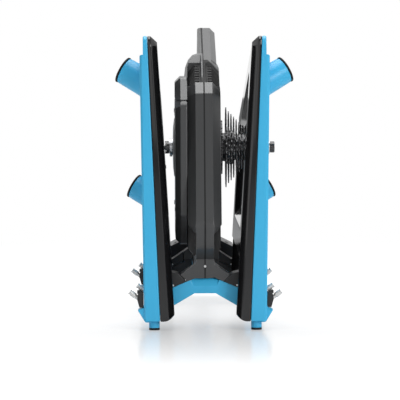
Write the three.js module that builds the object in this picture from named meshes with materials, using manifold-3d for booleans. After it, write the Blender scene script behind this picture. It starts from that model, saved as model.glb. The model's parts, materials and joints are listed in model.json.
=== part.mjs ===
import * as THREE from "three";
import { mergeVertices } from "three/addons/utils/BufferGeometryUtils.js";
import Module from "manifold-3d";

const wasm = await Module();
wasm.setup();

// A direct drive bicycle trainer, folded up on its four short posts.
// Lengths are millimetres. x runs across it, with the sprockets on the positive side.
// y runs forward from the rear face of the wings, and z up from the floor.

// Fits and fineness
const gap = 0.3;
const overrun = 2;
const fineSides = 32;
const roundSides = 20;
const smallSides = 10;
const cornerSteps = 3;

// The stance that the folding works toward: wings turned out, floor pitched under the hinge line
const useAngle = THREE.MathUtils.degToRad(120);
const floorPitch = THREE.MathUtils.degToRad(14);

// Overall length, and where the main parts stand along it
const overallLength = 620;
const lengthShares = {
  archSpacing: 0.669, inlet: 0.871, board: 0.5565,
  brow: 0.548, cheek: 0.758, slope: 0.944, tip: 0.997, chin: 0.987,
  crest: 0.637, crestRun: 0.081, finBrow: 0.806,
};

// The hinge line on each side and the two cast arches that carry it
const hinge = { x: 69, z: 35, pinRadius: 5, barrelRadius: 13.5, barrelSides: 24 };
const arch = {
  rearY: 35, spacing: overallLength * lengthShares.archSpacing, width: 40, sideClearance: 3,
  crownZ: 72.4, undersideZ: 50.7, crownHalf: 15.3, kneeX: 44, kneeZ: 34,
};
const archStarts = [arch.rearY, arch.rearY + arch.spacing];
const crownFacet = { creaseZ: 61.5, depth: 5, footHalf: 17, topHalf: 21 };
const apron = { halfWidth: 52, thickness: 1.5, footZ: 31 };

// Wings: a blue frame outside, a black cover inside, each face leaning outward as it rises
const frontTab = 12.2;
const wing = {
  length: archStarts[1] + arch.width + arch.sideClearance + frontTab,
  rearHeight: 426, footZ: 13, legWidth: 32, railZ: 95, railHeight: 55,
  rearArm: 70, frontArm: 75, topRail: 45, corner: 14, windowCorner: 16, rearTab: 17,
};
const topEdge = (y) => wing.rearHeight - y * Math.tan(floorPitch);
const windowBottomZ = wing.railZ + wing.railHeight;
const windowTopZ = (y) => topEdge(y) - wing.topRail;
const outerFace = { foot: 87.8, top: 93.6 };
const jointFace = { foot: 64.5, top: 82.3 };
const innerFace = { foot: 42.9, top: 68.8 };
const frameBevel = 3;
const coverBevel = 9;
const coverFoot = { flat: 9, height: 7 };
const rebate = { height: 30, depth: 5.2 };
const barrelSkin = 6;

// Feet that meet the floor in use, and posts that meet it when folded
const foot = { radius: 19.5, rootRadius: 20.8, length: 52 };
const footPadShape = { radius: 20, rim: 2.4, dome: 1.4, flat: 9 };
const rearFoot = { x: 115.7, y: 54, drop: 53.5 };
const frontFoot = { x: 104.5, inset: 36 };
const post = { x: 73.4, radius: 7.7, tipHeight: 3, inset: 16 };

// Lock blocks with their sprung pins, and the hook brackets below them
const block = { width: 20, reach: 9, bottomZ: 33, height: 22, foldZ: 10.7, noseHeight: 16.6, sideStep: 3 };
const lockPin = {
  radius: 2.9, headRadius: 4, headLength: 10.5, shaftLength: 9.5, headGap: 3.6,
  rise: THREE.MathUtils.degToRad(38), groove: 0.9, grooveWidth: 1.6,
};
const hook = { width: 24, reach: 9.4, tipZ: 29.8, topZ: 33, bottomZ: 11.6, bottomReach: 1.5, rootDepth: 8 };

// Spine between the arches, open underneath with cross ribs
const spine = { half: 15, bottomZ: 46, wall: 4, deck: 6, ribs: 4, noseInset: 19.8 };
const spineEnd = overallLength - spine.noseInset;

// Hub line, set within the height of the wing windows, and how far the casing's corners stand above it
const hubPlace = { y: 160, heightShare: 0.5625 };
const hub = {
  y: hubPlace.y,
  z: windowBottomZ + hubPlace.heightShare * (windowTopZ(hubPlace.y) - windowBottomZ),
};
const aboveHub = {
  rimShoulder: 81.5, rimTop: 97.5, ventStart: 91.5, ventEnd: 128.5, brow: 132.5, cheek: 92.5,
  finTop: 177, finBrow: 134.5, dome: 4.5, motorTop: 104.5,
};

// Casing halves: side outline, chamfered cheeks, and a waist that is longer at the tail than further forward
const casing = {
  rightX: 24, leftX: 24.6, cheek: 12, seam: 0.4, waistX: 13, waistTopZ: 138, shoulderZ: 151,
  waistEndY: 100, lowWaistTopZ: 98, lowShoulderZ: 112,
};
const tail = {
  footY: 62, footZ: 82, toeY: 36, toeZ: 99, heelY: 9, heelZ: 118, backY: 2, backZ: 150,
  round: 12, wideRound: 30,
};
const rim = {
  rearY: 70, shoulderZ: hub.z + aboveHub.rimShoulder, frontY: 92, topZ: hub.z + aboveHub.rimTop, round: 5,
};
const ventBed = {
  startY: 112, startZ: hub.z + aboveHub.ventStart, endY: 215, endZ: hub.z + aboveHub.ventEnd,
};
const nose = {
  browY: overallLength * lengthShares.brow, browZ: hub.z + aboveHub.brow,
  cheekY: overallLength * lengthShares.cheek, cheekZ: hub.z + aboveHub.cheek,
  slopeY: overallLength * lengthShares.slope, slopeZ: 190,
  tipY: overallLength * lengthShares.tip, tipZ: 120,
  chinY: overallLength * lengthShares.chin, chinZ: 92,
  round: 12, wideRound: 60,
};
const fin = {
  rightX: 20.6, leftX: 6, bevel: 8, leftBevel: 2, rootDepth: 40, round: 24,
  topZ: hub.z + aboveHub.finTop, browZ: hub.z + aboveHub.finBrow,
  crestY: overallLength * lengthShares.crest, crestLength: overallLength * lengthShares.crestRun,
  browY: overallLength * lengthShares.finBrow,
};
const shoulderDome = { ahead: 75, radius: 134, leftX: 28, startX: 8, drop: 34, steps: 4 };
const skirt = {
  lip: 1, clearance: 0.6, outerX: 35.3, outerZ: 78.5, topX: 14.3, topZ: 93, waistZ: 100,
  splitX: 28.4, splitZ: 69.9, frontSplitZ: 83.3,
};
const archCover = {
  outerX: 52, outerZ: 82.6, kneeX: 38.6, kneeZ: 79.5, frontKneeX: 46, frontKneeZ: 71.2, frontOuterZ: 69,
};
const noseCover = {
  clear: 18.5, halfWidth: 52, skirtZ: 60, shoulderZ: 86, crownX: 32, crownZ: 96,
  slope: 22, lipDrop: 12, wall: 3,
};

const noseCoverStart = archStarts[1] + arch.width + noseCover.clear;

// Louvred vent inserts on both sides of the ridge behind the rim
const vent = {
  run: 92, ridgeHalf: 3.4, leftOuterX: 23.5, depth: 8, drop: 3, headroom: 16,
  slots: 9, slotWidth: 4, slotDepth: 4, slotOuterX: 13.5,
};

// Motor cover with its shallow dish
const motor = {
  outerX: 42.4, rearY: 40, length: 250, bottomZ: 119, topZ: hub.z + aboveHub.motorTop,
  corner: 41, lowCorner: 45, cornerShare: 0.75,
  round: 12, bevel: 8,
};
const dish = { radius: 43, innerRadius: 15.5, height: 2.8, edge: 0.8, bowShare: 0.6 };

const axle = { radius: 8.5, bore: 3, leftX: 43, rightX: 88, clearance: 0.45 };
const leftCap = { flangeRadius: 14.5, noseRadius: 10.5, length: 5.6, socket: 2 };
const rightCap = { radius: 10, length: 9.7, socket: 2 };
const skewer = { radius: 2.7, nutRadius: 9, nutLength: 8.2, tipRadius: 3.75, tipLength: 3.4 };
const skewerNut = { radius: 8, length: 7, wall: 1.8 };

// Rotating pieces in the casing, and the fixed stator inside the magnet ring
const rotor = {
  radius: 88, ringInner: 75, ringLeftX: 18, ringRightX: 8, webLeftX: 3, webRightX: 7, webRadius: 74.4,
  hubRadius: 22, hubLeftX: 12, hubRightX: 24.4, holes: 6, holeRadius: 12, holeCircle: 48,
};
const stator = {
  outerRadius: 74, coreRadius: 54, innerRadius: 40, leftX: 17, rightX: 5, poles: 18, poleShare: 0.62,
};
const bearing = { outerRadius: 17, width: 7 };
const flange = {
  radius: 40, thickness: 3, holes: 12, holeRadius: 3, holeCircle: 31, notches: 24, notchRadius: 2,
};
const chamberClearance = 2;

// Sprockets on the freehub, largest nearest the casing
const toothCounts = [28, 25, 23, 21, 19, 17, 15, 14, 13, 12, 11];
const largeCluster = 3;
const middleCluster = 3;
const chainPitch = 12.7;
const sprocket = {
  firstX: 33, pitch: 3.85, thickness: 1.8, collar: 19.2, clusterCollar: 25,
  tipHeight: 2.8, rootDepth: 3.8, valleyShare: 0.34,
  windows: 5, windowInner: 28, rimWidth: 5, windowShare: 0.56,
};
const freehub = { radius: 17.3, flangeRadius: 21 };
const lockring = { radius: 18.2, boreRadius: 9.5, thickness: 2.6, notches: 8, notchRadius: 1.4 };

// Electronics
const board = {
  startY: overallLength * lengthShares.board, length: 95, bottomZ: 190, height: 130, thickness: 1.6,
  chamber: 8, edge: 4,
};
const inlet = {
  y: overallLength * lengthShares.inlet, z: 175, radius: 6.5, bore: 3, pin: 1,
  flange: 8.5, flangeThickness: 1.6, depth: 9,
};

// Finishes
const finish = {
  paint: new THREE.MeshStandardMaterial({ color: 0x4fb3e3, roughness: 0.38, metalness: 0.05 }),
  casing: new THREE.MeshStandardMaterial({ color: 0x3a3b3d, roughness: 0.5, metalness: 0.0 }),
  cover: new THREE.MeshStandardMaterial({ color: 0x232325, roughness: 0.45, metalness: 0.0 }),
  rubber: new THREE.MeshStandardMaterial({ color: 0x151516, roughness: 0.9, metalness: 0.0 }),
  steel: new THREE.MeshStandardMaterial({ color: 0xb4b7ba, roughness: 0.3, metalness: 0.95 }),
  chrome: new THREE.MeshStandardMaterial({ color: 0xdfe2e4, roughness: 0.12, metalness: 1.0 }),
  blackSteel: new THREE.MeshStandardMaterial({ color: 0x1c1c1e, roughness: 0.4, metalness: 0.7 }),
  copper: new THREE.MeshStandardMaterial({ color: 0xb06a38, roughness: 0.45, metalness: 0.8 }),
  board: new THREE.MeshStandardMaterial({ color: 0x1f6b3a, roughness: 0.6, metalness: 0.0 }),
};

// Solids from three.js geometry, joined and cut

function solidOf(geometry) {
  const bare = geometry.clone();
  bare.deleteAttribute("normal");
  bare.deleteAttribute("uv");
  const merged = mergeVertices(bare);
  return new wasm.Manifold(new wasm.Mesh({
    numProp: 3,
    vertProperties: Float32Array.from(merged.attributes.position.array),
    triVerts: Uint32Array.from(merged.index.array),
  }));
}

function geometryOf(solid) {
  const mesh = solid.getMesh();
  const geometry = new THREE.BufferGeometry();
  geometry.setAttribute("position", new THREE.BufferAttribute(Float32Array.from(mesh.vertProperties), 3));
  geometry.setIndex(new THREE.BufferAttribute(Uint32Array.from(mesh.triVerts), 1));
  geometry.computeVertexNormals();
  return geometry;
}

function join(...solids) {
  return solids.flat().reduce((whole, next) => whole.add(next));
}

function cut(solid, ...cutters) {
  return cutters.flat().reduce((whole, next) => whole.subtract(next), solid);
}

function mirrored(solid) {
  const geometry = geometryOf(solid);
  geometry.scale(-1, 1, 1);
  const index = geometry.index;
  for (let corner = 0; corner < index.count; corner += 3) {
    const first = index.getX(corner);
    index.setX(corner, index.getX(corner + 1));
    index.setX(corner + 1, first);
  }
  return solidOf(geometry);
}

// An outline from corners [u, v, rounding]; rounded corners are drawn as curves between their tangent points
function traced(target, corners) {
  const spots = corners.map(([u, v]) => new THREE.Vector2(u, v));
  corners.forEach(([, , rounding = 0], index) => {
    const here = spots[index];
    const toLast = spots.at(index - 1).clone().sub(here);
    const toNext = spots[(index + 1) % spots.length].clone().sub(here);
    const halfAngle = Math.acos(toLast.dot(toNext) / (toLast.length() * toNext.length())) / 2;
    const reach = Math.min(rounding / Math.tan(halfAngle), toLast.length() / 2, toNext.length() / 2);
    const arrive = here.clone().add(toLast.setLength(reach));
    const leave = here.clone().add(toNext.setLength(reach));
    if (index === 0) {
      target.moveTo(arrive.x, arrive.y);
    } else {
      target.lineTo(arrive.x, arrive.y);
    }
    if (rounding > 0) {
      target.quadraticCurveTo(here.x, here.y, leave.x, leave.y);
    }
  });
  target.closePath();
  return target;
}

function outline(corners, holes = []) {
  const shape = traced(new THREE.Shape(), corners);
  shape.holes = holes.map((hole) => traced(new THREE.Path(), hole));
  return shape;
}

function extruded(shape, length, bevel = 0) {
  return new THREE.ExtrudeGeometry(shape, {
    depth: length,
    steps: 1,
    curveSegments: cornerSteps,
    bevelEnabled: bevel > 0,
    bevelThickness: bevel,
    bevelSize: bevel,
    bevelOffset: -bevel,
    bevelSegments: 1,
  });
}

// Prisms: a side outline (y, z) swept along x, and a front outline (x, z) swept along y
const sideways = new THREE.Matrix4().set(0, 0, 1, 0, 1, 0, 0, 0, 0, 1, 0, 0, 0, 0, 0, 1);
const lengthways = new THREE.Matrix4().set(1, 0, 0, 0, 0, 0, -1, 0, 0, 1, 0, 0, 0, 0, 0, 1);

function alongX(corners, startX, endX, holes = []) {
  const geometry = extruded(outline(corners, holes), endX - startX);
  geometry.applyMatrix4(sideways).translate(startX, 0, 0);
  return solidOf(geometry);
}

function alongY(corners, startY, endY) {
  const geometry = extruded(outline(corners), endY - startY);
  geometry.applyMatrix4(lengthways).translate(0, endY, 0);
  return solidOf(geometry);
}

// A prism along x whose far end is chamfered all round, one wedge cut along each edge of its outline
function cheek(corners, farX, bevel) {
  const spots = corners.map(([y, z]) => new THREE.Vector2(y, z));
  if (THREE.ShapeUtils.isClockWise(spots)) {
    spots.reverse();
  }
  const turnAt = (index) => {
    const here = spots.at(index % spots.length);
    const arrive = here.clone().sub(spots.at((index % spots.length) - 1));
    const leave = spots[(index + 1) % spots.length].clone().sub(here);
    return arrive.cross(leave);
  };
  const wedges = spots.map((start, index) => {
    const end = spots[(index + 1) % spots.length];
    const along = end.clone().sub(start);
    const length = along.length();
    along.normalize();
    const before = turnAt(index) > 0 ? bevel : 0;
    const after = turnAt(index + 1) > 0 ? bevel : 0;
    const wedge = extruded(outline([
      [overrun, farX - bevel - overrun],
      [overrun, farX + overrun],
      [-bevel - overrun, farX + overrun],
    ]), length + before + after);
    const basis = new THREE.Matrix4().makeBasis(
      new THREE.Vector3(0, along.y, -along.x),
      new THREE.Vector3(1, 0, 0),
      new THREE.Vector3(0, -along.x, -along.y),
    );
    const tail = end.clone().addScaledVector(along, after);
    wedge.applyMatrix4(basis).translate(0, tail.x, tail.y);
    return solidOf(wedge);
  });
  return cut(alongX(corners, -bevel, farX), wedges);
}

function slabX(startX, endX, startY, endY, startZ, endZ) {
  return alongX([[startY, startZ], [endY, startZ], [endY, endZ], [startY, endZ]], startX, endX);
}

function rod(start, end, startRadius, endRadius = startRadius, sides = roundSides) {
  const from = new THREE.Vector3(...start);
  const to = new THREE.Vector3(...end);
  const span = to.clone().sub(from);
  const geometry = new THREE.CylinderGeometry(endRadius, startRadius, span.length(), sides);
  const turn = new THREE.Quaternion().setFromUnitVectors(new THREE.Vector3(0, 1, 0), span.normalize());
  geometry.applyQuaternion(turn).translate(...from.add(to).multiplyScalar(0.5).toArray());
  return solidOf(geometry);
}

// A piece turned about a line along x, from a profile of [x, radius] that closes on itself or on the axis
function turned(profile, sides = fineSides, centre = hub) {
  const points = profile.map(([x, radius]) => new THREE.Vector2(radius, x));
  if (THREE.ShapeUtils.isClockWise(points)) {
    points.reverse();
  }
  const closed = points[0].x === 0 ? points : [...points, points[0].clone()];
  const geometry = new THREE.LatheGeometry(closed, sides);
  geometry.rotateZ(-Math.PI / 2).translate(0, centre.y, centre.z);
  return solidOf(geometry);
}

function ring(startX, endX, inner, outer, sides = fineSides) {
  return turned([[startX, inner], [startX, outer], [endX, outer], [endX, inner]], sides);
}

function hubRod(startX, endX, radius, sides = roundSides) {
  return rod([startX, hub.y, hub.z], [endX, hub.y, hub.z], radius, radius, sides);
}

// Rods parallel to the hub line, evenly spaced on a circle round it
function rodCircle(count, circle, radius, startX, endX, sides = smallSides) {
  return Array.from({ length: count }, (_, index) => {
    const angle = (2 * Math.PI * index) / count;
    const y = hub.y + circle * Math.cos(angle);
    const z = hub.z + circle * Math.sin(angle);
    return rod([startX, y, z], [endX, y, z], radius, radius, sides);
  });
}

const root = new THREE.Group();
root.position.y = -overallLength / 2;

function place(name, solid, material, parent = root) {
  const mesh = new THREE.Mesh(geometryOf(solid), material);
  mesh.name = name;
  parent.add(mesh);
}

// Each leaning face of a wing is a plane given by its x at the floor and at the top of the wing
function faceX(face, z) {
  return face.foot + ((face.top - face.foot) * z) / wing.rearHeight;
}

// A panel between two leaning faces, bevelled round both
function panel(corners, holes, nearFace, farFace, bevel, shift = 0) {
  const geometry = extruded(outline(corners, holes), bevel + overrun, bevel);
  geometry.applyMatrix4(sideways);
  const places = geometry.attributes.position;
  const middle = (bevel + overrun) / 2;
  for (let index = 0; index < places.count; index += 1) {
    const x = places.getX(index);
    const z = places.getZ(index);
    const fromNear = faceX(nearFace, z) + x + bevel;
    const fromFar = faceX(farFace, z) + x - 2 * bevel - overrun;
    places.setX(index, shift + (x < middle ? fromNear : fromFar));
  }
  return solidOf(geometry);
}

// Everything on one side of the joint between frame and cover
function besideJoint(side, clearance) {
  const lowZ = -overrun;
  const highZ = wing.rearHeight + overrun;
  const edge = (z) => faceX(jointFace, z) - side * clearance;
  const far = side * outerFace.top;
  return alongY([
    [edge(lowZ), lowZ],
    [edge(lowZ) + far, lowZ],
    [edge(highZ) + far, highZ],
    [edge(highZ), highZ],
  ], -overrun, wing.length + overrun);
}

const frontHeight = wing.rearHeight - wing.length * Math.tan(floorPitch);
const domeCentre = { y: hub.y + shoulderDome.ahead, z: hub.z + aboveHub.dome };
const legStarts = archStarts.map((start) => start - arch.sideClearance - wing.legWidth);
const legEnds = archStarts.map((start) => start - arch.sideClearance);
const tabStarts = archStarts.map((start) => start + arch.width + arch.sideClearance);
const tabEnds = [tabStarts[0] + wing.rearTab, wing.length];
const footAxis = new THREE.Vector3(
  Math.sin(useAngle) * Math.cos(floorPitch),
  Math.sin(floorPitch),
  -Math.cos(useAngle) * Math.cos(floorPitch),
);
const rearFootEnd = new THREE.Vector3(rearFoot.x, rearFoot.y, wing.rearHeight - rearFoot.drop);
const frontFootY = wing.length - frontFoot.inset;
const frontFootRise = footAxis.dot(rearFootEnd) - footAxis.x * frontFoot.x - footAxis.y * frontFootY;
const frontFootEnd = new THREE.Vector3(frontFoot.x, frontFootY, frontFootRise / footAxis.z);
const footEnds = [rearFootEnd, frontFootEnd];

function windowCorners() {
  const startY = wing.rearArm;
  const endY = wing.length - wing.frontArm;
  return [
    [startY, windowBottomZ, wing.windowCorner],
    [endY, windowBottomZ, wing.windowCorner],
    [endY, windowTopZ(endY), wing.windowCorner],
    [startY, windowTopZ(startY), wing.windowCorner],
  ];
}

function wingTop() {
  return [
    [wing.length, frontHeight, wing.corner],
    [0, wing.rearHeight, wing.corner],
  ];
}

function pinBore(index) {
  const startY = legStarts[index] + barrelSkin;
  const endY = tabEnds[index] + overrun;
  return rod([hinge.x, startY, hinge.z], [hinge.x, endY, hinge.z], hinge.pinRadius + gap);
}

function barrel(startY, endY, clearance = 0) {
  const radius = hinge.barrelRadius + clearance;
  return rod([hinge.x, startY, hinge.z], [hinge.x, endY, hinge.z], radius, radius, hinge.barrelSides);
}

function hookBracket(legStart) {
  const startY = legStart + (wing.legWidth - hook.width) / 2;
  const faceBottom = faceX(outerFace, hook.bottomZ);
  return alongY([
    [faceBottom - hook.rootDepth, hook.bottomZ],
    [faceBottom - hook.bottomReach, hook.bottomZ],
    [faceX(outerFace, hook.tipZ) + hook.reach, hook.tipZ],
    [faceX(outerFace, hook.topZ), hook.topZ],
    [faceBottom - hook.rootDepth, hook.topZ],
  ], startY, startY + hook.width);
}

function wingFrame() {
  const tabZ = hinge.z - hinge.barrelRadius;
  const corners = [
    [legStarts[0], wing.footZ],
    [legEnds[0], wing.footZ],
    [legEnds[0], wing.railZ, wing.corner],
    [tabStarts[0], wing.railZ, wing.corner],
    [tabStarts[0], tabZ],
    [tabEnds[0], tabZ],
    [tabEnds[0], wing.railZ, wing.corner],
    [legStarts[1], wing.railZ, wing.corner],
    [legStarts[1], wing.footZ],
    [legEnds[1], wing.footZ],
    [legEnds[1], wing.railZ, wing.corner],
    [tabStarts[1], wing.railZ, wing.corner],
    [tabStarts[1], tabZ],
    [tabEnds[1], tabZ],
    ...wingTop(),
  ];
  const bandX = outerFace.top - rebate.depth;
  const band = alongX([
    [-overrun, topEdge(0) - rebate.height],
    [wing.length + overrun, topEdge(wing.length) - rebate.height],
    [wing.length + overrun, topEdge(0)],
    [-overrun, topEdge(0) + overrun],
  ], bandX, outerFace.top + overrun);
  const stubs = footEnds.map((end) => {
    const rootEnd = end.clone().addScaledVector(footAxis, -foot.length);
    return rod(rootEnd.toArray(), end.toArray(), foot.rootRadius, foot.radius);
  });
  const posts = legStarts.map((start) => {
    const y = start + post.inset;
    return rod([post.x, y, post.tipHeight + gap], [post.x, y, wing.footZ + overrun], post.radius);
  });
  let frame = cut(panel(corners, [windowCorners()], innerFace, outerFace, frameBevel), band);
  frame = join(frame, stubs);
  frame = cut(frame, besideJoint(-1, 0));
  frame = join(frame, posts, legStarts.map(hookBracket));
  archStarts.forEach((_, index) => {
    const behind = barrel(legStarts[index] + barrelSkin, legEnds[index]);
    const ahead = barrel(tabStarts[index], tabEnds[index]);
    frame = join(frame, behind, ahead);
    frame = cut(frame, pinBore(index));
  });
  return frame;
}

// What is cleared away below the curved lower end of each cover leg
function coverFootRoom() {
  const jointX = faceX(jointFace, wing.footZ);
  const innerX = faceX(innerFace, wing.footZ);
  const riseZ = wing.footZ + coverFoot.height;
  return alongY([
    [jointX + coverBevel, -overrun],
    [jointX + coverBevel, wing.footZ],
    [jointX - coverFoot.flat, wing.footZ, wing.windowCorner],
    [innerX, riseZ],
    [innerX - coverBevel, riseZ + coverFoot.height],
    [innerX - coverBevel, -overrun],
  ], -overrun, wing.length + overrun);
}

function wingCover() {
  const corners = [
    [legStarts[0], wing.footZ],
    [legEnds[0], wing.footZ],
    [legEnds[0], wing.railZ],
    [legStarts[1], wing.railZ],
    [legStarts[1], wing.footZ],
    [legEnds[1], wing.footZ],
    [legEnds[1], wing.railZ],
    [wing.length, wing.railZ],
    ...wingTop(),
  ];
  const slab = panel(corners, [windowCorners()], innerFace, outerFace, coverBevel);
  let cover = cut(slab, besideJoint(1, gap), coverFootRoom());
  archStarts.forEach((_, index) => {
    cover = cut(cover, barrel(legStarts[index] + barrelSkin - gap, legEnds[index] + overrun, gap));
    const clearEnd = tabEnds[index] + arch.sideClearance;
    cover = cut(cover, barrel(tabStarts[index] - arch.sideClearance, clearEnd, arch.sideClearance));
  });
  return cover;
}

function footPad(end) {
  const base = end.clone().addScaledVector(footAxis, gap);
  const profile = [
    [0, 0],
    [footPadShape.radius, 0],
    [footPadShape.radius, footPadShape.rim],
    [footPadShape.flat, footPadShape.rim + footPadShape.dome],
    [0, footPadShape.rim + footPadShape.dome],
  ].map(([radius, height]) => new THREE.Vector2(radius, height));
  const geometry = new THREE.LatheGeometry(profile, roundSides);
  geometry.applyQuaternion(new THREE.Quaternion().setFromUnitVectors(new THREE.Vector3(0, 1, 0), footAxis));
  geometry.translate(...base.toArray());
  return solidOf(geometry);
}

function standTip(legStart) {
  const y = legStart + post.inset;
  return rod([post.x, y, 0], [post.x, y, post.tipHeight], post.radius);
}

// Lock block against the leg's outer face, with the inclined bore of its pin
const blockRootX = faceX(outerFace, block.bottomZ + block.height) + gap;
const pinMouth = {
  x: blockRootX + block.reach,
  z: block.bottomZ + block.foldZ + (block.noseHeight - block.foldZ) / 2,
};
const pinAxis = new THREE.Vector3(Math.cos(lockPin.rise), 0, Math.sin(lockPin.rise));

function pinPoint(legStart, distance) {
  return [
    pinMouth.x + pinAxis.x * distance,
    legStart + wing.legWidth / 2,
    pinMouth.z + pinAxis.z * distance,
  ];
}

function lockBlock(legStart) {
  const startY = legStart + (wing.legWidth - block.width) / 2;
  const outerX = blockRootX + block.reach;
  const body = alongY([
    [blockRootX, block.bottomZ],
    [outerX - block.sideStep, block.bottomZ],
    [outerX, block.bottomZ + block.foldZ],
    [outerX, block.bottomZ + block.noseHeight],
    [outerX - block.sideStep, block.bottomZ + block.height - gap],
    [blockRootX, block.bottomZ + block.height],
  ], startY, startY + block.width);
  const boreStart = -(block.reach + overrun) / pinAxis.x;
  const boreRadius = lockPin.radius + gap;
  const [inner, outer] = [pinPoint(legStart, boreStart), pinPoint(legStart, overrun)];
  const bore = rod(inner, outer, boreRadius, boreRadius, smallSides);
  return cut(body, bore);
}

// A plain shaft whose head has one finger groove near its end
function lockPinSolid(legStart) {
  const headStart = lockPin.headGap;
  const headEnd = headStart + lockPin.headLength;
  const neckEnd = headEnd - lockPin.grooveWidth;
  const neckStart = neckEnd - lockPin.grooveWidth;
  const stretches = [
    [-lockPin.shaftLength, headStart + lockPin.headGap, lockPin.radius],
    [headStart, neckStart, lockPin.headRadius],
    [neckStart, neckEnd, lockPin.headRadius - lockPin.groove],
    [neckEnd, headEnd, lockPin.headRadius],
  ];
  return join(stretches.map(([start, end, radius]) => (
    rod(pinPoint(legStart, start), pinPoint(legStart, end), radius, radius, smallSides)
  )));
}

function buildWing(side, turn) {
  const group = new THREE.Group();
  group.name = `${side}_wing`;
  root.add(group);
  const add = (name, solid, material) => place(`${side}_${name}`, turn(solid), material, group);
  add("wing_frame", wingFrame(), finish.paint);
  add("wing_cover", wingCover(), finish.cover);
  ["rear", "front"].forEach((end, index) => {
    add(`foot_pad_${end}`, footPad(footEnds[index]), finish.rubber);
    add(`stand_tip_${end}`, standTip(legStarts[index]), finish.rubber);
    add(`lock_block_${end}`, lockBlock(legStarts[index]), finish.cover);
    add(`lock_pin_${end}`, lockPinSolid(legStarts[index]), finish.chrome);
  });
}

// Cast base: two arches on a ribbed spine
const archSlope = (arch.undersideZ - arch.kneeZ) / (arch.kneeX - arch.crownHalf);
const kneeAngle = Math.atan(archSlope);
const crownRun = hinge.x - arch.crownHalf;
const crownDrop = arch.crownZ - hinge.z;
const crownReach = Math.hypot(crownRun, crownDrop);
const crownAngle = Math.atan2(crownDrop, crownRun) - Math.asin(hinge.barrelRadius / crownReach);
const archTop = (x) => arch.crownZ - Math.max(0, Math.abs(x) - arch.crownHalf) * Math.tan(crownAngle);

function archProfile() {
  const radius = hinge.barrelRadius;
  const upper = [hinge.x + radius * Math.sin(crownAngle), hinge.z + radius * Math.cos(crownAngle)];
  const lower = [hinge.x - radius * Math.sin(kneeAngle), hinge.z - radius * Math.cos(kneeAngle)];
  const right = [
    [arch.crownHalf, arch.undersideZ],
    [arch.kneeX, arch.kneeZ],
    lower,
    [hinge.x, hinge.z],
    upper,
    [arch.crownHalf, arch.crownZ],
  ];
  const left = right.map(([x, z]) => [-x, z]).reverse();
  return [...right, ...left];
}

// The slanted facet on the rear face of the rear arch's crown
function crownFacetRoom() {
  const rate = (arch.crownZ - crownFacet.creaseZ) / crownFacet.depth;
  const startY = arch.rearY - overrun;
  const endY = arch.rearY + crownFacet.depth + overrun;
  const footZ = crownFacet.creaseZ - overrun * rate;
  const headZ = arch.crownZ + overrun * rate;
  const slope = alongX([[startY, footZ], [endY, headZ], [startY, headZ]], -hinge.x, hinge.x);
  return slope.intersect(alongY([
    [-crownFacet.footHalf, crownFacet.creaseZ - overrun],
    [crownFacet.footHalf, crownFacet.creaseZ - overrun],
    [crownFacet.footHalf, crownFacet.creaseZ],
    [crownFacet.topHalf, arch.crownZ],
    [crownFacet.topHalf, headZ],
    [-crownFacet.topHalf, headZ],
    [-crownFacet.topHalf, arch.crownZ],
    [-crownFacet.footHalf, crownFacet.creaseZ],
  ], startY, endY));
}

function baseFrame() {
  const innerHalf = spine.half - spine.wall;
  const section = [
    [-spine.half, spine.bottomZ],
    [-innerHalf, spine.bottomZ],
    [-innerHalf, arch.crownZ - spine.deck],
    [innerHalf, arch.crownZ - spine.deck],
    [innerHalf, spine.bottomZ],
    [spine.half, spine.bottomZ],
    [spine.half, arch.crownZ],
    [-spine.half, arch.crownZ],
  ];
  const startY = arch.rearY + arch.width - overrun;
  const endY = spineEnd;
  let frame = alongY(section, startY, endY);
  const rearRoom = arch.spacing - arch.width;
  const ribTop = arch.crownZ - spine.deck + overrun;
  const ribHalf = innerHalf + overrun;
  for (let rib = 1; rib <= spine.ribs; rib += 1) {
    const y = arch.rearY + arch.width + (rearRoom * rib) / (spine.ribs + 1);
    frame = join(frame, slabX(-ribHalf, ribHalf, y, y + spine.wall, spine.bottomZ, ribTop));
  }
  const noseWallY = endY - spine.wall;
  frame = join(frame, slabX(-ribHalf, ribHalf, noseWallY, endY, spine.bottomZ, ribTop));
  archStarts.forEach((archY) => {
    const archEnd = archY + arch.width;
    frame = join(frame, alongY(archProfile(), archY, archEnd));
    [-1, 1].forEach((side) => {
      const x = side * hinge.x;
      const [near, far] = [[x, archY, hinge.z], [x, archEnd, hinge.z]];
      const knuckle = rod(near, far, hinge.barrelRadius, hinge.barrelRadius, hinge.barrelSides);
      frame = join(frame, knuckle);
      const [mouth, exit] = [[x, archY - overrun, hinge.z], [x, archEnd + overrun, hinge.z]];
      const bore = rod(mouth, exit, hinge.pinRadius + gap);
      frame = cut(frame, bore);
    });
  });
  return cut(frame, crownFacetRoom());
}

function hingePin(index, side) {
  const startY = legStarts[index] + barrelSkin + gap;
  const endY = tabEnds[index] - gap;
  return rod([side * hinge.x, startY, hinge.z], [side * hinge.x, endY, hinge.z], hinge.pinRadius);
}

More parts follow.
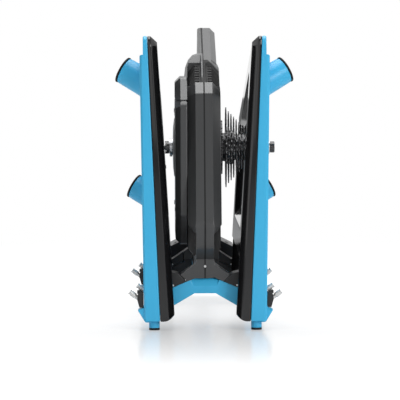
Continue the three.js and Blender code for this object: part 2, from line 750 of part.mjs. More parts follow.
// Casing halves
const seatZ = arch.crownZ + gap;
const bodySide = [
  [tail.footY, seatZ],
  [tail.footY, tail.footZ],
  [tail.toeY, tail.toeZ, tail.round],
  [tail.heelY, tail.heelZ, tail.round],
  [tail.backY, tail.backZ, tail.wideRound],
  [rim.rearY, rim.shoulderZ, rim.round],
  [rim.frontY, rim.topZ, rim.round],
  [ventBed.startY, ventBed.startZ],
  [ventBed.endY, ventBed.endZ],
  [nose.browY, nose.browZ, nose.wideRound],
  [nose.cheekY, nose.cheekZ, nose.wideRound],
  [nose.slopeY, nose.slopeZ, nose.wideRound],
  [nose.tipY, nose.tipZ, nose.round],
  [nose.chinY, nose.chinZ, nose.round],
  [spineEnd, seatZ],
];
const finSide = [
  [ventBed.endY, ventBed.endZ - fin.rootDepth],
  [ventBed.endY, ventBed.endZ],
  [fin.crestY, fin.topZ, fin.round],
  [fin.crestY + fin.crestLength, fin.topZ, fin.round],
  [fin.browY, fin.browZ, nose.wideRound],
  [nose.slopeY, nose.slopeZ, nose.round],
  [nose.slopeY - fin.rootDepth, nose.slopeZ - fin.rootDepth],
];

// The rounded shoulder that the left half carries round its stator
function dome(clearance = 0) {
  const arc = Array.from({ length: shoulderDome.steps + 1 }, (_, step) => {
    const angle = (Math.PI / 2) * (step / shoulderDome.steps);
    const x = shoulderDome.startX + (shoulderDome.leftX - shoulderDome.startX) * Math.sin(angle);
    const radius = shoulderDome.radius - shoulderDome.drop * (1 - Math.cos(angle));
    return [-x - clearance, radius + clearance];
  });
  const profile = [[-casing.seam, 0], [-casing.seam, shoulderDome.radius + clearance], ...arc];
  profile.push([-shoulderDome.leftX - clearance, 0]);
  return turned(profile, fineSides, domeCentre);
}

// The casing's side outline swept outward to one cheek, lowered by drop
function body(width, drop = 0) {
  return cheek(bodySide.map(([y, z, rounding]) => [y, z - drop, rounding]), width, casing.cheek);
}

// The height of the sloping bed behind the rim that the vents lie in
function bedZ(y) {
  const rate = (ventBed.endZ - ventBed.startZ) / (ventBed.endY - ventBed.startY);
  return ventBed.startZ + (y - ventBed.startY) * rate;
}

// The strip of the bed that each vent insert fills, measured on the right side; its far end leans forward
function ventStrip(side, clearance) {
  const outerX = side > 0 ? casing.rightX + overrun : vent.leftOuterX - clearance;
  const startY = ventBed.startY + clearance;
  const endY = ventBed.startY + vent.run - clearance;
  const lowZ = ventBed.startZ - ventBed.startY;
  const highZ = bedZ(endY) + vent.headroom;
  return alongX([
    [startY, lowZ],
    [endY, lowZ],
    [endY, bedZ(endY)],
    [endY + vent.headroom, highZ],
    [startY, highZ],
  ], vent.ridgeHalf + clearance, outerX);
}

function splitLine(x) {
  const slope = (archCover.kneeZ - skirt.splitZ) / (archCover.kneeX - skirt.splitX);
  return skirt.splitZ + (x - skirt.splitX) * slope;
}

// What covers an arch is alike on both, from one lip before it to one lip past it
function overArch(side, index, corners) {
  const startY = archStarts[index];
  const placed = corners.map(([x, z]) => [side * x, z]);
  return alongY(placed, startY - skirt.lip, startY + arch.width + skirt.lip);
}

// The casing's foot on an arch. The rear one steps down beside its arch cover,
// and the front one runs on level with it.
function skirtSolid(side, index) {
  const stepped = [
    [skirt.splitX - gap, skirt.splitZ],
    [skirt.outerX, splitLine(skirt.outerX) + skirt.clearance],
    [skirt.outerX, skirt.outerZ],
  ];
  return overArch(side, index, [
    [casing.seam, seatZ],
    [arch.crownHalf, seatZ],
    [skirt.splitX - gap, archTop(skirt.splitX) + gap],
    ...(index === 0 ? stepped : [[skirt.splitX - gap, skirt.frontSplitZ]]),
    [skirt.topX, skirt.topZ],
    [casing.waistX, skirt.waistZ],
    [casing.seam, skirt.waistZ],
  ]);
}

function archCoverSolid(side, index) {
  const rear = [
    [skirt.splitX, skirt.splitZ],
    [archCover.kneeX, archCover.kneeZ],
    [archCover.outerX, archCover.outerZ],
  ];
  const front = [
    [skirt.splitX, skirt.frontSplitZ],
    [archCover.frontKneeX, archCover.frontKneeZ],
    [archCover.outerX, archCover.frontOuterZ],
  ];
  return overArch(side, index, [
    [skirt.splitX, archTop(skirt.splitX) + gap],
    ...(index === 0 ? rear : front),
    [archCover.outerX, archTop(archCover.outerX) + gap],
  ]);
}

function boardRoom(clearance, halfWidth, inset) {
  return slabX(
    -halfWidth, halfWidth,
    board.startY + inset - clearance, board.startY + board.length - inset + clearance,
    board.bottomZ + inset - clearance, board.bottomZ + board.height - inset + clearance,
  );
}

function shellHalf(side) {
  const width = side > 0 ? casing.rightX : casing.leftX;
  const finWidth = side > 0 ? fin.rightX : fin.leftX;
  const finBevel = side > 0 ? fin.bevel : fin.leftBevel;
  const waisted = (topZ, shoulderZ, startY, endY) => alongY([
    [casing.seam, seatZ - overrun],
    [casing.waistX, seatZ - overrun],
    [casing.waistX, topZ],
    [width, shoulderZ],
    [width + overrun, fin.topZ + overrun],
    [casing.seam, fin.topZ + overrun],
  ], startY, endY);
  const front = join(
    waisted(casing.waistTopZ, casing.shoulderZ, 0, casing.waistEndY),
    waisted(casing.lowWaistTopZ, casing.lowShoulderZ, casing.waistEndY, overallLength),
  );
  const finFront = slabX(casing.seam, width + overrun, 0, overallLength, seatZ, fin.topZ + overrun);
  let half = body(width).intersect(front);
  half = join(half, cheek(finSide, finWidth, finBevel).intersect(finFront));
  if (side < 0) {
    half = join(half, mirrored(dome()));
  }
  half = cut(half, cut(ventStrip(side, 0), body(width, vent.depth)));
  if (side < 0) {
    half = mirrored(half);
  }
  half = join(half, archStarts.map((_, index) => skirtSolid(side, index)));
  const room = rotor.radius + chamberClearance;
  if (side > 0) {
    half = cut(half, hubRod(-overrun, rotor.ringRightX + chamberClearance, room, fineSides));
    half = cut(half, hubRod(-overrun, width + overrun, rotor.hubRadius + chamberClearance));
  } else {
    const floorX = -rotor.ringLeftX - chamberClearance;
    half = cut(half, hubRod(floorX, overrun, room, fineSides));
    const bossInner = rotor.hubRadius + chamberClearance;
    const bossOuter = stator.innerRadius - gap;
    half = join(half, ring(floorX - gap, -stator.rightX, bossInner, bossOuter, roundSides));
    half = cut(half, hubRod(-width - shoulderDome.leftX, overrun, axle.radius + gap));
    const socket = (x) => [x, inlet.y, inlet.z];
    half = cut(half, rod(socket(-width - overrun), socket(-width + inlet.depth), inlet.radius + gap));
  }
  half = cut(half, boardRoom(0, board.chamber, board.edge));
  return cut(half, boardRoom(gap, board.thickness / 2 + gap, 0));
}

// Louvred insert that fills its strip to just below the casing's surface, with slots right across it
function ventGrille(side) {
  const width = side > 0 ? casing.rightX : casing.leftX;
  const insert = cut(ventStrip(side, gap).intersect(body(width, vent.drop)), body(width, vent.depth - gap));
  const pitch = (vent.run - vent.slotWidth) / vent.slots;
  const slots = Array.from({ length: vent.slots }, (_, slot) => {
    const nearY = ventBed.startY + vent.slotWidth + pitch * slot;
    const farY = nearY + vent.slotWidth;
    return alongX([
      [nearY, bedZ(nearY) - vent.drop - vent.slotDepth],
      [farY, bedZ(farY) - vent.drop - vent.slotDepth],
      [farY, bedZ(farY)],
      [nearY, bedZ(nearY)],
    ], vent.ridgeHalf + vent.drop, vent.slotOuterX);
  });
  const louvred = cut(insert, slots);
  return side > 0 ? louvred : mirrored(louvred);
}

function noseCoverSolid() {
  const profile = (inset, floorZ) => [
    [-noseCover.halfWidth + inset, floorZ],
    [noseCover.halfWidth - inset, floorZ],
    [noseCover.halfWidth - inset, noseCover.shoulderZ - inset],
    [noseCover.crownX, noseCover.crownZ - inset],
    [-noseCover.crownX, noseCover.crownZ - inset],
    [-noseCover.halfWidth + inset, noseCover.shoulderZ - inset],
  ];
  const sideLimit = alongX([
    [noseCoverStart, noseCover.skirtZ],
    [overallLength - noseCover.slope, noseCover.skirtZ, noseCover.slope],
    [overallLength, noseCover.shoulderZ - noseCover.lipDrop],
    [overallLength, noseCover.shoulderZ - noseCover.wall],
    [overallLength - noseCover.wall, noseCover.crownZ],
    [noseCoverStart, noseCover.crownZ],
  ], -noseCover.halfWidth, noseCover.halfWidth);
  const outer = alongY(profile(0, noseCover.skirtZ), noseCoverStart, overallLength).intersect(sideLimit);
  const wall = noseCover.wall;
  const hollow = alongY(
    profile(wall, noseCover.skirtZ - overrun),
    noseCoverStart + wall, overallLength - noseCover.slope - wall,
  );
  const waistX = casing.waistX + gap;
  const waist = slabX(-waistX, waistX, 0, nose.tipY - wall, seatZ - overrun, noseCover.crownZ + overrun);
  const spineX = spine.half + gap;
  const beam = slabX(-spineX, spineX, 0, spineEnd + gap, spine.bottomZ, seatZ);
  return cut(outer, hollow, waist, beam);
}

// Motor cover on the left cheek
function motorCover() {
  const endY = motor.rearY + motor.length;
  const corners = [
    [motor.rearY, motor.bottomZ + motor.lowCorner, motor.round],
    [motor.rearY + motor.lowCorner * motor.cornerShare, motor.bottomZ, motor.round],
    [endY - motor.lowCorner * motor.cornerShare, motor.bottomZ, motor.round],
    [endY, motor.bottomZ + motor.lowCorner, motor.round],
    [endY, motor.topZ - motor.corner, motor.round],
    [endY - motor.corner, motor.topZ, motor.round],
    [motor.rearY + motor.corner, motor.topZ, motor.round],
    [motor.rearY, motor.topZ - motor.corner, motor.round],
  ];
  const outer = mirrored(cheek(corners, motor.outerX, motor.bevel));
  const inward = casing.leftX + gap;
  const keep = slabX(-motor.outerX - overrun, -inward, 0, overallLength, 0, fin.topZ);
  return cut(
    outer.intersect(keep),
    dome(gap),
    hubRod(-motor.outerX - overrun, 0, axle.radius + axle.clearance),
    hubRod(-motor.outerX - overrun, -axle.leftX + leftCap.socket + gap, leftCap.flangeRadius + gap),
  );
}

function hubDish() {
  const seat = -motor.outerX - gap;
  const middle = (dish.radius + dish.innerRadius) / 2;
  return turned([
    [seat, dish.innerRadius],
    [seat - dish.height, dish.innerRadius],
    [seat - dish.height * dish.bowShare - dish.edge, middle],
    [seat - dish.edge, dish.radius],
    [seat, dish.radius],
  ]);
}

// Hub line pieces
function axleSolid() {
  return ring(-axle.leftX, axle.rightX, axle.bore, axle.radius, roundSides);
}

function leftEndCap() {
  const inner = -axle.leftX + leftCap.socket;
  const outer = inner - leftCap.length;
  return turned([
    [inner, axle.radius + gap],
    [inner, leftCap.flangeRadius],
    [(inner + outer) / 2, leftCap.flangeRadius],
    [outer, leftCap.noseRadius],
    [outer, axle.bore],
    [-axle.leftX - gap, axle.bore],
    [-axle.leftX - gap, axle.radius + gap],
  ], roundSides);
}

function rightEndCap() {
  const inner = axle.rightX - rightCap.socket;
  const outer = axle.rightX + rightCap.length;
  return turned([
    [inner, axle.radius + gap],
    [inner, rightCap.radius],
    [outer, rightCap.radius],
    [outer, axle.bore],
    [axle.rightX + gap, axle.bore],
    [axle.rightX + gap, axle.radius + gap],
  ], roundSides);
}

function skewerSolid() {
  const nutInner = -axle.leftX + leftCap.socket - leftCap.length - gap;
  const nutOuter = nutInner - skewer.nutLength;
  const endX = axle.rightX + rightCap.length + gap + skewerNut.length - skewerNut.wall;
  return turned([
    [endX, 0],
    [endX, skewer.radius],
    [nutInner, skewer.radius],
    [nutInner, skewer.nutRadius],
    [nutOuter, skewer.nutRadius],
    [nutOuter, skewer.tipRadius],
    [nutOuter - skewer.tipLength, skewer.tipRadius],
    [nutOuter - skewer.tipLength, 0],
  ], roundSides);
}

function skewerNutSolid() {
  const inner = axle.rightX + rightCap.length + gap;
  const outer = inner + skewerNut.length;
  return turned([
    [outer, 0],
    [outer, skewerNut.radius],
    [inner, skewerNut.radius],
    [inner, axle.bore],
    [outer - skewerNut.wall + gap, axle.bore],
    [outer - skewerNut.wall + gap, 0],
  ], roundSides);
}

function bearingSolid(startX) {
  return ring(startX, startX + bearing.width, axle.radius + gap, bearing.outerRadius, roundSides);
}

function rotorDisc() {
  const bore = axle.radius + chamberClearance;
  const seat = bearing.outerRadius + gap;
  const leftSeat = -rotor.hubLeftX + bearing.width + gap;
  const rightSeat = rotor.hubRightX - bearing.width - gap;
  const disc = turned([
    [-rotor.hubLeftX, seat],
    [-rotor.hubLeftX, rotor.hubRadius],
    [rotor.webLeftX, rotor.hubRadius],
    [rotor.webLeftX, rotor.webRadius],
    [rotor.webRightX, rotor.webRadius],
    [rotor.webRightX, rotor.hubRadius],
    [rotor.hubRightX, rotor.hubRadius],
    [rotor.hubRightX, seat],
    [rightSeat, seat],
    [rightSeat, bore],
    [leftSeat, bore],
    [leftSeat, seat],
  ], roundSides);
  const holes = rodCircle(
    rotor.holes, rotor.holeCircle, rotor.holeRadius, rotor.webLeftX - overrun, rotor.webRightX + overrun,
  );
  return cut(disc, holes);
}

function magnetRing() {
  return ring(-rotor.ringLeftX, rotor.ringRightX, rotor.ringInner, rotor.radius);
}

// Stator: a ring with a pole for each coil
function statorSolid() {
  const corners = [];
  for (let pole = 0; pole < stator.poles; pole += 1) {
    const start = (2 * Math.PI * pole) / stator.poles;
    const half = (Math.PI * stator.poleShare) / stator.poles;
    const stops = [[start - half, stator.coreRadius], [start - half, stator.outerRadius]];
    stops.push([start + half, stator.outerRadius], [start + half, stator.coreRadius]);
    stops.forEach(([angle, radius]) => {
      corners.push([hub.y + radius * Math.cos(angle), hub.z + radius * Math.sin(angle)]);
    });
  }
  const core = alongX(corners, -stator.leftX, -stator.rightX);
  return cut(core, hubRod(-stator.leftX - overrun, overrun, stator.innerRadius, fineSides));
}

function driveFlange() {
  const startX = rotor.hubRightX + gap;
  const endX = startX + flange.thickness;
  const plate = ring(startX, endX, axle.radius + chamberClearance, flange.radius);
  const span = [startX - overrun, endX + overrun];
  const rimHoles = rodCircle(flange.holes, flange.holeCircle, flange.holeRadius, ...span);
  const notches = rodCircle(flange.notches, flange.radius, flange.notchRadius, ...span);
  return cut(plate, rimHoles, notches);
}

const freehubStart = rotor.hubRightX + gap + flange.thickness + gap;
const sprocketX = (index) => sprocket.firstX + sprocket.pitch * index;
const stackEnd = sprocketX(toothCounts.length - 1) + sprocket.thickness / 2;

function freehubBody() {
  const rimEnd = sprocketX(0) - sprocket.thickness / 2 - gap;
  return turned([
    [freehubStart, axle.radius + gap],
    [freehubStart, freehub.flangeRadius],
    [rimEnd, freehub.flangeRadius],
    [rimEnd, freehub.radius],
    [stackEnd, freehub.radius],
    [stackEnd, axle.radius + gap],
  ], roundSides);
}

// One toothed disc with the collar that spaces it from the next smaller one
function toothedDisc(index, collarRadius, collarEnd) {
  const teeth = toothCounts[index];
  const pitchRadius = chainPitch / (2 * Math.sin(Math.PI / teeth));
  const tip = pitchRadius + sprocket.tipHeight;
  const rootRadius = pitchRadius - sprocket.rootDepth;
  const step = (2 * Math.PI) / teeth;
  const corners = [];
  for (let tooth = 0; tooth < teeth; tooth += 1) {
    const flanks = [[-sprocket.valleyShare, rootRadius], [0, tip], [sprocket.valleyShare, rootRadius]];
    flanks.forEach(([share, radius]) => {
      const angle = (tooth + share) * step;
      corners.push([hub.y + radius * Math.cos(angle), hub.z + radius * Math.sin(angle)]);
    });
  }
  const startX = sprocketX(index) - sprocket.thickness / 2;
  const endX = startX + sprocket.thickness;
  let disc = alongX(corners, startX, endX);
  if (collarEnd > endX) {
    disc = join(disc, hubRod(endX - sprocket.thickness / 2, collarEnd, collarRadius));
  }
  if (index < largeCluster) {
    const windowOuter = rootRadius - sprocket.rimWidth;
    const windows = Array.from({ length: sprocket.windows }, (_, spot) => {
      const middle = (2 * Math.PI * (spot + index / 2)) / sprocket.windows;
      const half = (Math.PI * sprocket.windowShare) / sprocket.windows;
      const stops = [[-half, windowOuter], [0, windowOuter], [half, windowOuter]];
      stops.push([half, sprocket.windowInner], [-half, sprocket.windowInner]);
      return alongX(stops.map(([turn, radius]) => [
        hub.y + radius * Math.cos(middle + turn),
        hub.z + radius * Math.sin(middle + turn),
      ]), startX - overrun, endX + overrun);
    });
    disc = cut(disc, windows);
  }
  return disc;
}

function sprocketGroup(first, count) {
  const bore = hubRod(sprocketX(first) - sprocket.pitch, stackEnd + sprocket.pitch, freehub.radius + gap);
  const discs = Array.from({ length: count }, (_, offset) => {
    const index = first + offset;
    const isLast = index === toothCounts.length - 1;
    const nextStart = sprocketX(index + 1) - sprocket.thickness / 2;
    const inside = offset < count - 1;
    const end = nextStart + (inside ? sprocket.thickness / 2 : -gap);
    return toothedDisc(index, first === 0 ? sprocket.clusterCollar : sprocket.collar, isLast ? 0 : end);
  });
  return cut(join(discs), bore);
}

function lockringSolid() {
  const startX = stackEnd + gap;
  const endX = startX + lockring.thickness;
  const body = ring(startX, endX, lockring.boreRadius, lockring.radius, roundSides);
  const span = [startX - overrun, endX + overrun];
  return cut(body, rodCircle(lockring.notches, lockring.radius, lockring.notchRadius, ...span));
}

function inletSolid() {
  const backX = -casing.leftX - gap;
  const faceX = backX - inlet.flangeThickness;
  const barrelEnd = -casing.leftX + inlet.depth - gap;
  const at = (x) => [x, inlet.y, inlet.z];
  const outer = join(
    rod(at(faceX), at(backX), inlet.flange),
    rod(at(backX - gap), at(barrelEnd), inlet.radius),
  );
  const bore = rod(at(faceX - overrun), at(barrelEnd - overrun), inlet.bore, inlet.bore, smallSides);
  const pin = rod(at(backX), at(barrelEnd - gap), inlet.pin, inlet.pin, smallSides);
  return join(cut(outer, bore), pin);
}

// Moulded plate that hides the rear face of the front arch, in two halves beside the spine
function archApron(side) {
  const endY = archStarts[1] - gap;
  const corners = [
    [spine.half + gap, arch.undersideZ],
    [arch.kneeX, arch.kneeZ],
    [apron.halfWidth, apron.footZ],
    [apron.halfWidth, archTop(apron.halfWidth)],
    [spine.half + gap, arch.crownZ],
  ].map(([x, z]) => [side * x, z]);
  return alongY(corners, endY - apron.thickness, endY);
}

place("base_frame", baseFrame(), finish.paint);
place("shell_right", shellHalf(1), finish.casing);
place("shell_left", shellHalf(-1), finish.casing);
place("vent_grille_right", ventGrille(1), finish.cover);
place("vent_grille_left", ventGrille(-1), finish.cover);
place("nose_cover", noseCoverSolid(), finish.cover);
place("motor_cover", motorCover(), finish.casing);
place("hub_dish", hubDish(), finish.casing);
[[-1, "left"], [1, "right"]].forEach(([side, sideName]) => {
  ["rear", "front"].forEach((end, index) => {
    place(`arch_cover_${end}_${sideName}`, archCoverSolid(side, index), finish.cover);
    place(`hinge_pin_${end}_${sideName}`, hingePin(index, side), finish.steel);
  });
  place(`arch_apron_${sideName}`, archApron(side), finish.cover);
});
place("axle", axleSolid(), finish.steel);
place("end_cap_left", leftEndCap(), finish.steel);
place("end_cap_right", rightEndCap(), finish.steel);
place("skewer", skewerSolid(), finish.blackSteel);
place("skewer_nut", skewerNutSolid(), finish.blackSteel);
place("bearing_left", bearingSolid(-rotor.hubLeftX), finish.steel);
place("bearing_right", bearingSolid(rotor.hubRightX - bearing.width), finish.steel);
place("stator", statorSolid(), finish.copper);
place("circuit_board", boardRoom(0, board.thickness / 2, 0), finish.board);
place("power_inlet", inletSolid(), finish.cover);
place("rotor_disc", rotorDisc(), finish.steel);
place("magnet_ring", magnetRing(), finish.blackSteel);
place("drive_flange", driveFlange(), finish.blackSteel);
place("freehub_body", freehubBody(), finish.steel);
place("sprocket_cluster_large", sprocketGroup(0, largeCluster), finish.blackSteel);
place("sprocket_cluster_middle", sprocketGroup(largeCluster, middleCluster), finish.blackSteel);
for (let index = largeCluster + middleCluster; index < toothCounts.length; index += 1) {
  place(`sprocket_${toothCounts[index]}t`, sprocketGroup(index, 1), finish.blackSteel);
}
place("lockring", lockringSolid(), finish.blackSteel);
buildWing("right", (solid) => solid);
buildWing("left", mirrored);

export default root;
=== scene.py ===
import json
import math

import bmesh
import bpy
from mathutils import Matrix, Vector
from mathutils.geometry import area_tri, delaunay_2d_cdt

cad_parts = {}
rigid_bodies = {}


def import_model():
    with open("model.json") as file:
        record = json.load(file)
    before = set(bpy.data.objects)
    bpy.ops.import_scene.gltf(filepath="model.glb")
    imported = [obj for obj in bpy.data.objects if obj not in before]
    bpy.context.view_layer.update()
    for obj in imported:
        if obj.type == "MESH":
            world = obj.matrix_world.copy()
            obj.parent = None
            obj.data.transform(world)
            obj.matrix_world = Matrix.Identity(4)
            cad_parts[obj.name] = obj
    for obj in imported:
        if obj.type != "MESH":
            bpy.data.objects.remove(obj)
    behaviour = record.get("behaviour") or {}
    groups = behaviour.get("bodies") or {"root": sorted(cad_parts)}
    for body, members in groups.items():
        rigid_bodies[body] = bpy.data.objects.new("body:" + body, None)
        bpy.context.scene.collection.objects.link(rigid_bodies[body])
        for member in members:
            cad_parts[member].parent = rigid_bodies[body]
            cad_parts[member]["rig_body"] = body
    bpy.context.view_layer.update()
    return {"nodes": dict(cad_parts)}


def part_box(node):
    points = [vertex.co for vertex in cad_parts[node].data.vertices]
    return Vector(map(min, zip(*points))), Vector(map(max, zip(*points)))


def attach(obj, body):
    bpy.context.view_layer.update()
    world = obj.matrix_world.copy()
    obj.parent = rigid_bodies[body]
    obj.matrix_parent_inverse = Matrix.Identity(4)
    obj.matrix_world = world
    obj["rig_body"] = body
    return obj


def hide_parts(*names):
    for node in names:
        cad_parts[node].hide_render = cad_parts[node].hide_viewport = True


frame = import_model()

# The camera: it stands far behind the folded trainer with a long lens, a little above its middle,
# so that the sides stay nearly parallel. Metres: x across, y forward to the nose, z up.
camera_place = Vector((-0.0588, -4.7536, 0.4205))
camera_aim = Vector((-0.0074, -0.310, 0.1876))
camera_roll = math.radians(-0.2)
camera_data = bpy.data.cameras.new("photo_camera")
camera_data.lens = 280
camera_data.sensor_width = 36
camera_data.clip_end = 60
camera = bpy.data.objects.new("photo_camera", camera_data)
camera.location = camera_place
aim = (camera_aim - camera_place).to_track_quat("-Z", "Y").to_matrix()
camera.rotation_euler = (aim @ Matrix.Rotation(camera_roll, 3, "Z")).to_euler()
bpy.context.scene.collection.objects.link(camera)
bpy.context.scene.camera = camera
bpy.context.scene.view_settings.view_transform = "Standard"

# The studio: a room whose mirror image is dim overhead and behind the camera, and bright to both
# sides and beyond the trainer. It has a soft box overhead, another beyond the trainer that skims
# its tops, a broad fill behind the camera and a key lamp on the camera's right.
world = bpy.data.worlds.new("studio")
world.use_nodes = True
bpy.context.scene.world = world
studio = world.node_tree
studio.nodes.clear()


def step(tree, kind, fields=(), **inputs):
    """Adds a node to a tree; each input is a plain value or the output of another node."""
    node = tree.nodes.new(kind)
    for field, value in dict(fields).items():
        setattr(node, field, value)
    for label, value in inputs.items():
        socket = node.inputs[int(label[1:]) if label[0] == "_" else label.replace("_", " ")]
        if isinstance(value, bpy.types.NodeSocket):
            tree.links.new(value, socket)
        else:
            socket.default_value = value
    return node.outputs


apart = step(studio, "ShaderNodeSeparateXYZ", _0=step(studio, "ShaderNodeTexCoord")["Generated"])
sideways = step(studio, "ShaderNodeMath", {"operation": "ABSOLUTE"}, _0=apart["X"])[0]
side_walls = step(
    studio, "ShaderNodeMapRange", Value=sideways, From_Min=0.3, From_Max=0.95, To_Min=0.55, To_Max=1.3
)["Result"]
far_wall = step(
    studio, "ShaderNodeMapRange", Value=apart["Y"], From_Min=0.7, From_Max=0.95
)["Result"]
walls = step(studio, "ShaderNodeMath", {"operation": "MAXIMUM"}, _0=side_walls, _1=far_wall)[0]
path = step(studio, "ShaderNodeLightPath")
seen = step(
    studio, "ShaderNodeMath", {"operation": "MAXIMUM"},
    _0=path["Is Camera Ray"], _1=path["Is Transmission Ray"],
)[0]
pure_white = (1, 1, 1, 1)
ambient = step(studio, "ShaderNodeBackground", Color=(0.95, 0.97, 1.0, 1), Strength=0.5)[0]
mirrored = step(studio, "ShaderNodeBackground", Color=pure_white, Strength=walls)[0]
backdrop = step(studio, "ShaderNodeBackground", Color=pure_white, Strength=1.0)[0]
unseen = step(studio, "ShaderNodeMixShader", _0=path["Is Glossy Ray"], _1=ambient, _2=mirrored)[0]
shown = step(studio, "ShaderNodeMixShader", _0=seen, _1=unseen, _2=backdrop)[0]
step(studio, "ShaderNodeOutputWorld", Surface=shown)


def lamp(name, place, aim_at, size, power):
    """A rectangular soft lamp that faces a spot."""
    data = bpy.data.lights.new(name, "AREA")
    data.shape = "RECTANGLE"
    data.size, data.size_y = size
    data.energy = power
    light = bpy.data.objects.new(name, data)
    light.location = place
    light.rotation_euler = (Vector(aim_at) - Vector(place)).to_track_quat("-Z", "Y").to_euler()
    bpy.context.scene.collection.objects.link(light)


lamp("overhead_soft_box", (0, 0.3, 2.4), aim_at=(0, 0.25, 0.2), size=(1.1, 2.6), power=50)
lamp("far_strip", (0, 2.6, 2.1), aim_at=(0, 0, 0.3), size=(2.6, 1.2), power=5.5)
lamp("camera_side_fill", (-0.8, -4.9, 1.1), aim_at=(0, 0, 0.2), size=(2.4, 2.0), power=12)
lamp("right_key", (2.5, -3.4, 1.3), aim_at=(0, 0, 0.2), size=(1.4, 1.4), power=72)

# The floor: a pale sweep whose diffuse part keeps the real soft shadows under the posts, while
# ambient occlusion dims its glow near the trainer as painted shade. It has a faint sheen in front
# of the posts, and fades to the white of the room further out, so that no horizon shows.
floor_reach = 20
floor_mesh = bpy.data.meshes.new("studio_floor")
corners = [(-floor_reach, -floor_reach, 0), (floor_reach, -floor_reach, 0)]
corners += [(floor_reach, floor_reach, 0), (-floor_reach, floor_reach, 0)]
floor_mesh.from_pydata(corners, [], [(0, 1, 2, 3)])
studio_floor = bpy.data.objects.new("studio_floor", floor_mesh)
bpy.context.scene.collection.objects.link(studio_floor)
floor_material = bpy.data.materials.new("studio_floor")
floor_material.use_nodes = True
sweep = floor_material.node_tree
sweep.nodes.clear()
where = step(sweep, "ShaderNodeTexCoord")["Object"]
apart = step(sweep, "ShaderNodeSeparateXYZ", _0=where)
beyond = step(
    sweep, "ShaderNodeMapRange", Value=apart["Y"], From_Min=0.8, From_Max=1.6, To_Min=0.82, To_Max=0.3
)["Result"]
lit_floor = step(sweep, "ShaderNodeBsdfDiffuse", Color=beyond)[0]
shaded_floor = step(sweep, "ShaderNodeBsdfDiffuse", Color=(0.3, 0.3, 0.3, 1))[0]
# Painted shade: ambient occlusion dims the floor's glow where the trainer shelters it.
occlusion_for_painted_shade = step(sweep, "ShaderNodeAmbientOcclusion", {"samples": 24}, Distance=0.9)["AO"]
painted_shade_strength = step(
    sweep, "ShaderNodeMapRange", Value=occlusion_for_painted_shade, From_Min=0.4, To_Min=0.76, To_Max=0.88
)["Result"]
painted_shade_glow = step(sweep, "ShaderNodeEmission", Strength=painted_shade_strength)[0]
near_floor = step(sweep, "ShaderNodeAddShader", _0=shaded_floor, _1=painted_shade_glow)[0]
sheen = step(sweep, "ShaderNodeBsdfGlossy", Roughness=0.17)[0]
forward = step(
    sweep, "ShaderNodeMapRange", Value=apart["Y"], From_Min=-1.1, From_Max=0.4
)["Result"]
sheen_share = sweep.nodes.new("ShaderNodeValToRGB")
sheen_share.color_ramp.interpolation = "EASE"
sheen_share.color_ramp.elements.new(0.5)
for stop, position, share in zip(sheen_share.color_ramp.elements, (0, 0.5, 0.7), (0, 0.5, 0.06)):
    stop.position = position
    stop.color = (share, share, share, 1)
sweep.links.new(forward, sheen_share.inputs["Fac"])
shiny_floor = step(
    sweep, "ShaderNodeMixShader", _0=sheen_share.outputs["Color"], _1=near_floor, _2=sheen
)[0]
far_floor = step(sweep, "ShaderNodeEmission")[0]
distance = step(sweep, "ShaderNodeVectorMath", {"operation": "LENGTH"}, _0=where)["Value"]
fade = step(sweep, "ShaderNodeMapRange", Value=distance, From_Min=0.7, From_Max=1.6)["Result"]
seen_floor = step(sweep, "ShaderNodeMixShader", _0=fade, _1=shiny_floor, _2=far_floor)[0]
camera_ray = step(sweep, "ShaderNodeLightPath")["Is Camera Ray"]
whole_floor = step(sweep, "ShaderNodeMixShader", _0=camera_ray, _1=lit_floor, _2=seen_floor)[0]
step(sweep, "ShaderNodeOutputMaterial", Surface=whole_floor)
floor_mesh.materials.append(floor_material)

# The base casting: two arches on a ribbed spine, gravity cast in aluminium, blasted, and then
# powder coated in a satin sky blue. Its corners are the casting's own soft radii.
flat_limit = math.radians(1)
hard_angle, soft_crease, facet_crease = 28.0, 38.0, 20.0


def named_tree(kind, name, takes, gives):
    """A node tree with named inputs and outputs, and the sockets that lead in and out of it."""
    tree = bpy.data.node_groups.new(name, kind)
    for label, socket_kind, value in takes:
        socket = tree.interface.new_socket(
            name=label, in_out="INPUT", socket_type=f"NodeSocket{socket_kind}"
        )
        if value is not None:
            socket.default_value = value
    for label, socket_kind in gives:
        tree.interface.new_socket(name=label, in_out="OUTPUT", socket_type=f"NodeSocket{socket_kind}")
    return tree, tree.nodes.new("NodeGroupInput").outputs, tree.nodes.new("NodeGroupOutput").inputs


surface_grain, given, made = named_tree(
    "ShaderNodeTree", "surface_grain",
    takes=[("Scale", "Float", 900), ("Patch Scale", "Float", 9)],
    gives=[("Height", "Float"), ("Patch", "Float")],
)
where = step(surface_grain, "ShaderNodeTexCoord")["Object"]
fine = step(surface_grain, "ShaderNodeTexNoise", Vector=where, Scale=given["Scale"], Detail=3)
broad = step(
    surface_grain, "ShaderNodeTexNoise", Vector=where, Scale=given["Patch Scale"], Detail=4,
    Roughness=0.6,
)
surface_grain.links.new(fine["Fac"], made["Height"])
surface_grain.links.new(broad["Fac"], made["Patch"])

edge_rub, given, made = named_tree(
    "ShaderNodeTree", "edge_rub", takes=[("Width", "Float", 0.0015)], gives=[("Mask", "Float")]
)
rounded = step(edge_rub, "ShaderNodeBevel", {"samples": 4}, Radius=given["Width"])["Normal"]
own = step(edge_rub, "ShaderNodeNewGeometry")["Normal"]
likeness = step(edge_rub, "ShaderNodeVectorMath", {"operation": "DOT_PRODUCT"}, _0=rounded, _1=own)
mask = step(edge_rub, "ShaderNodeMapRange", Value=likeness["Value"], From_Min=0.995, From_Max=0.9)
edge_rub.links.new(mask["Result"], made["Mask"])
rub_strength, coat_roughness = 0.5, 0.12


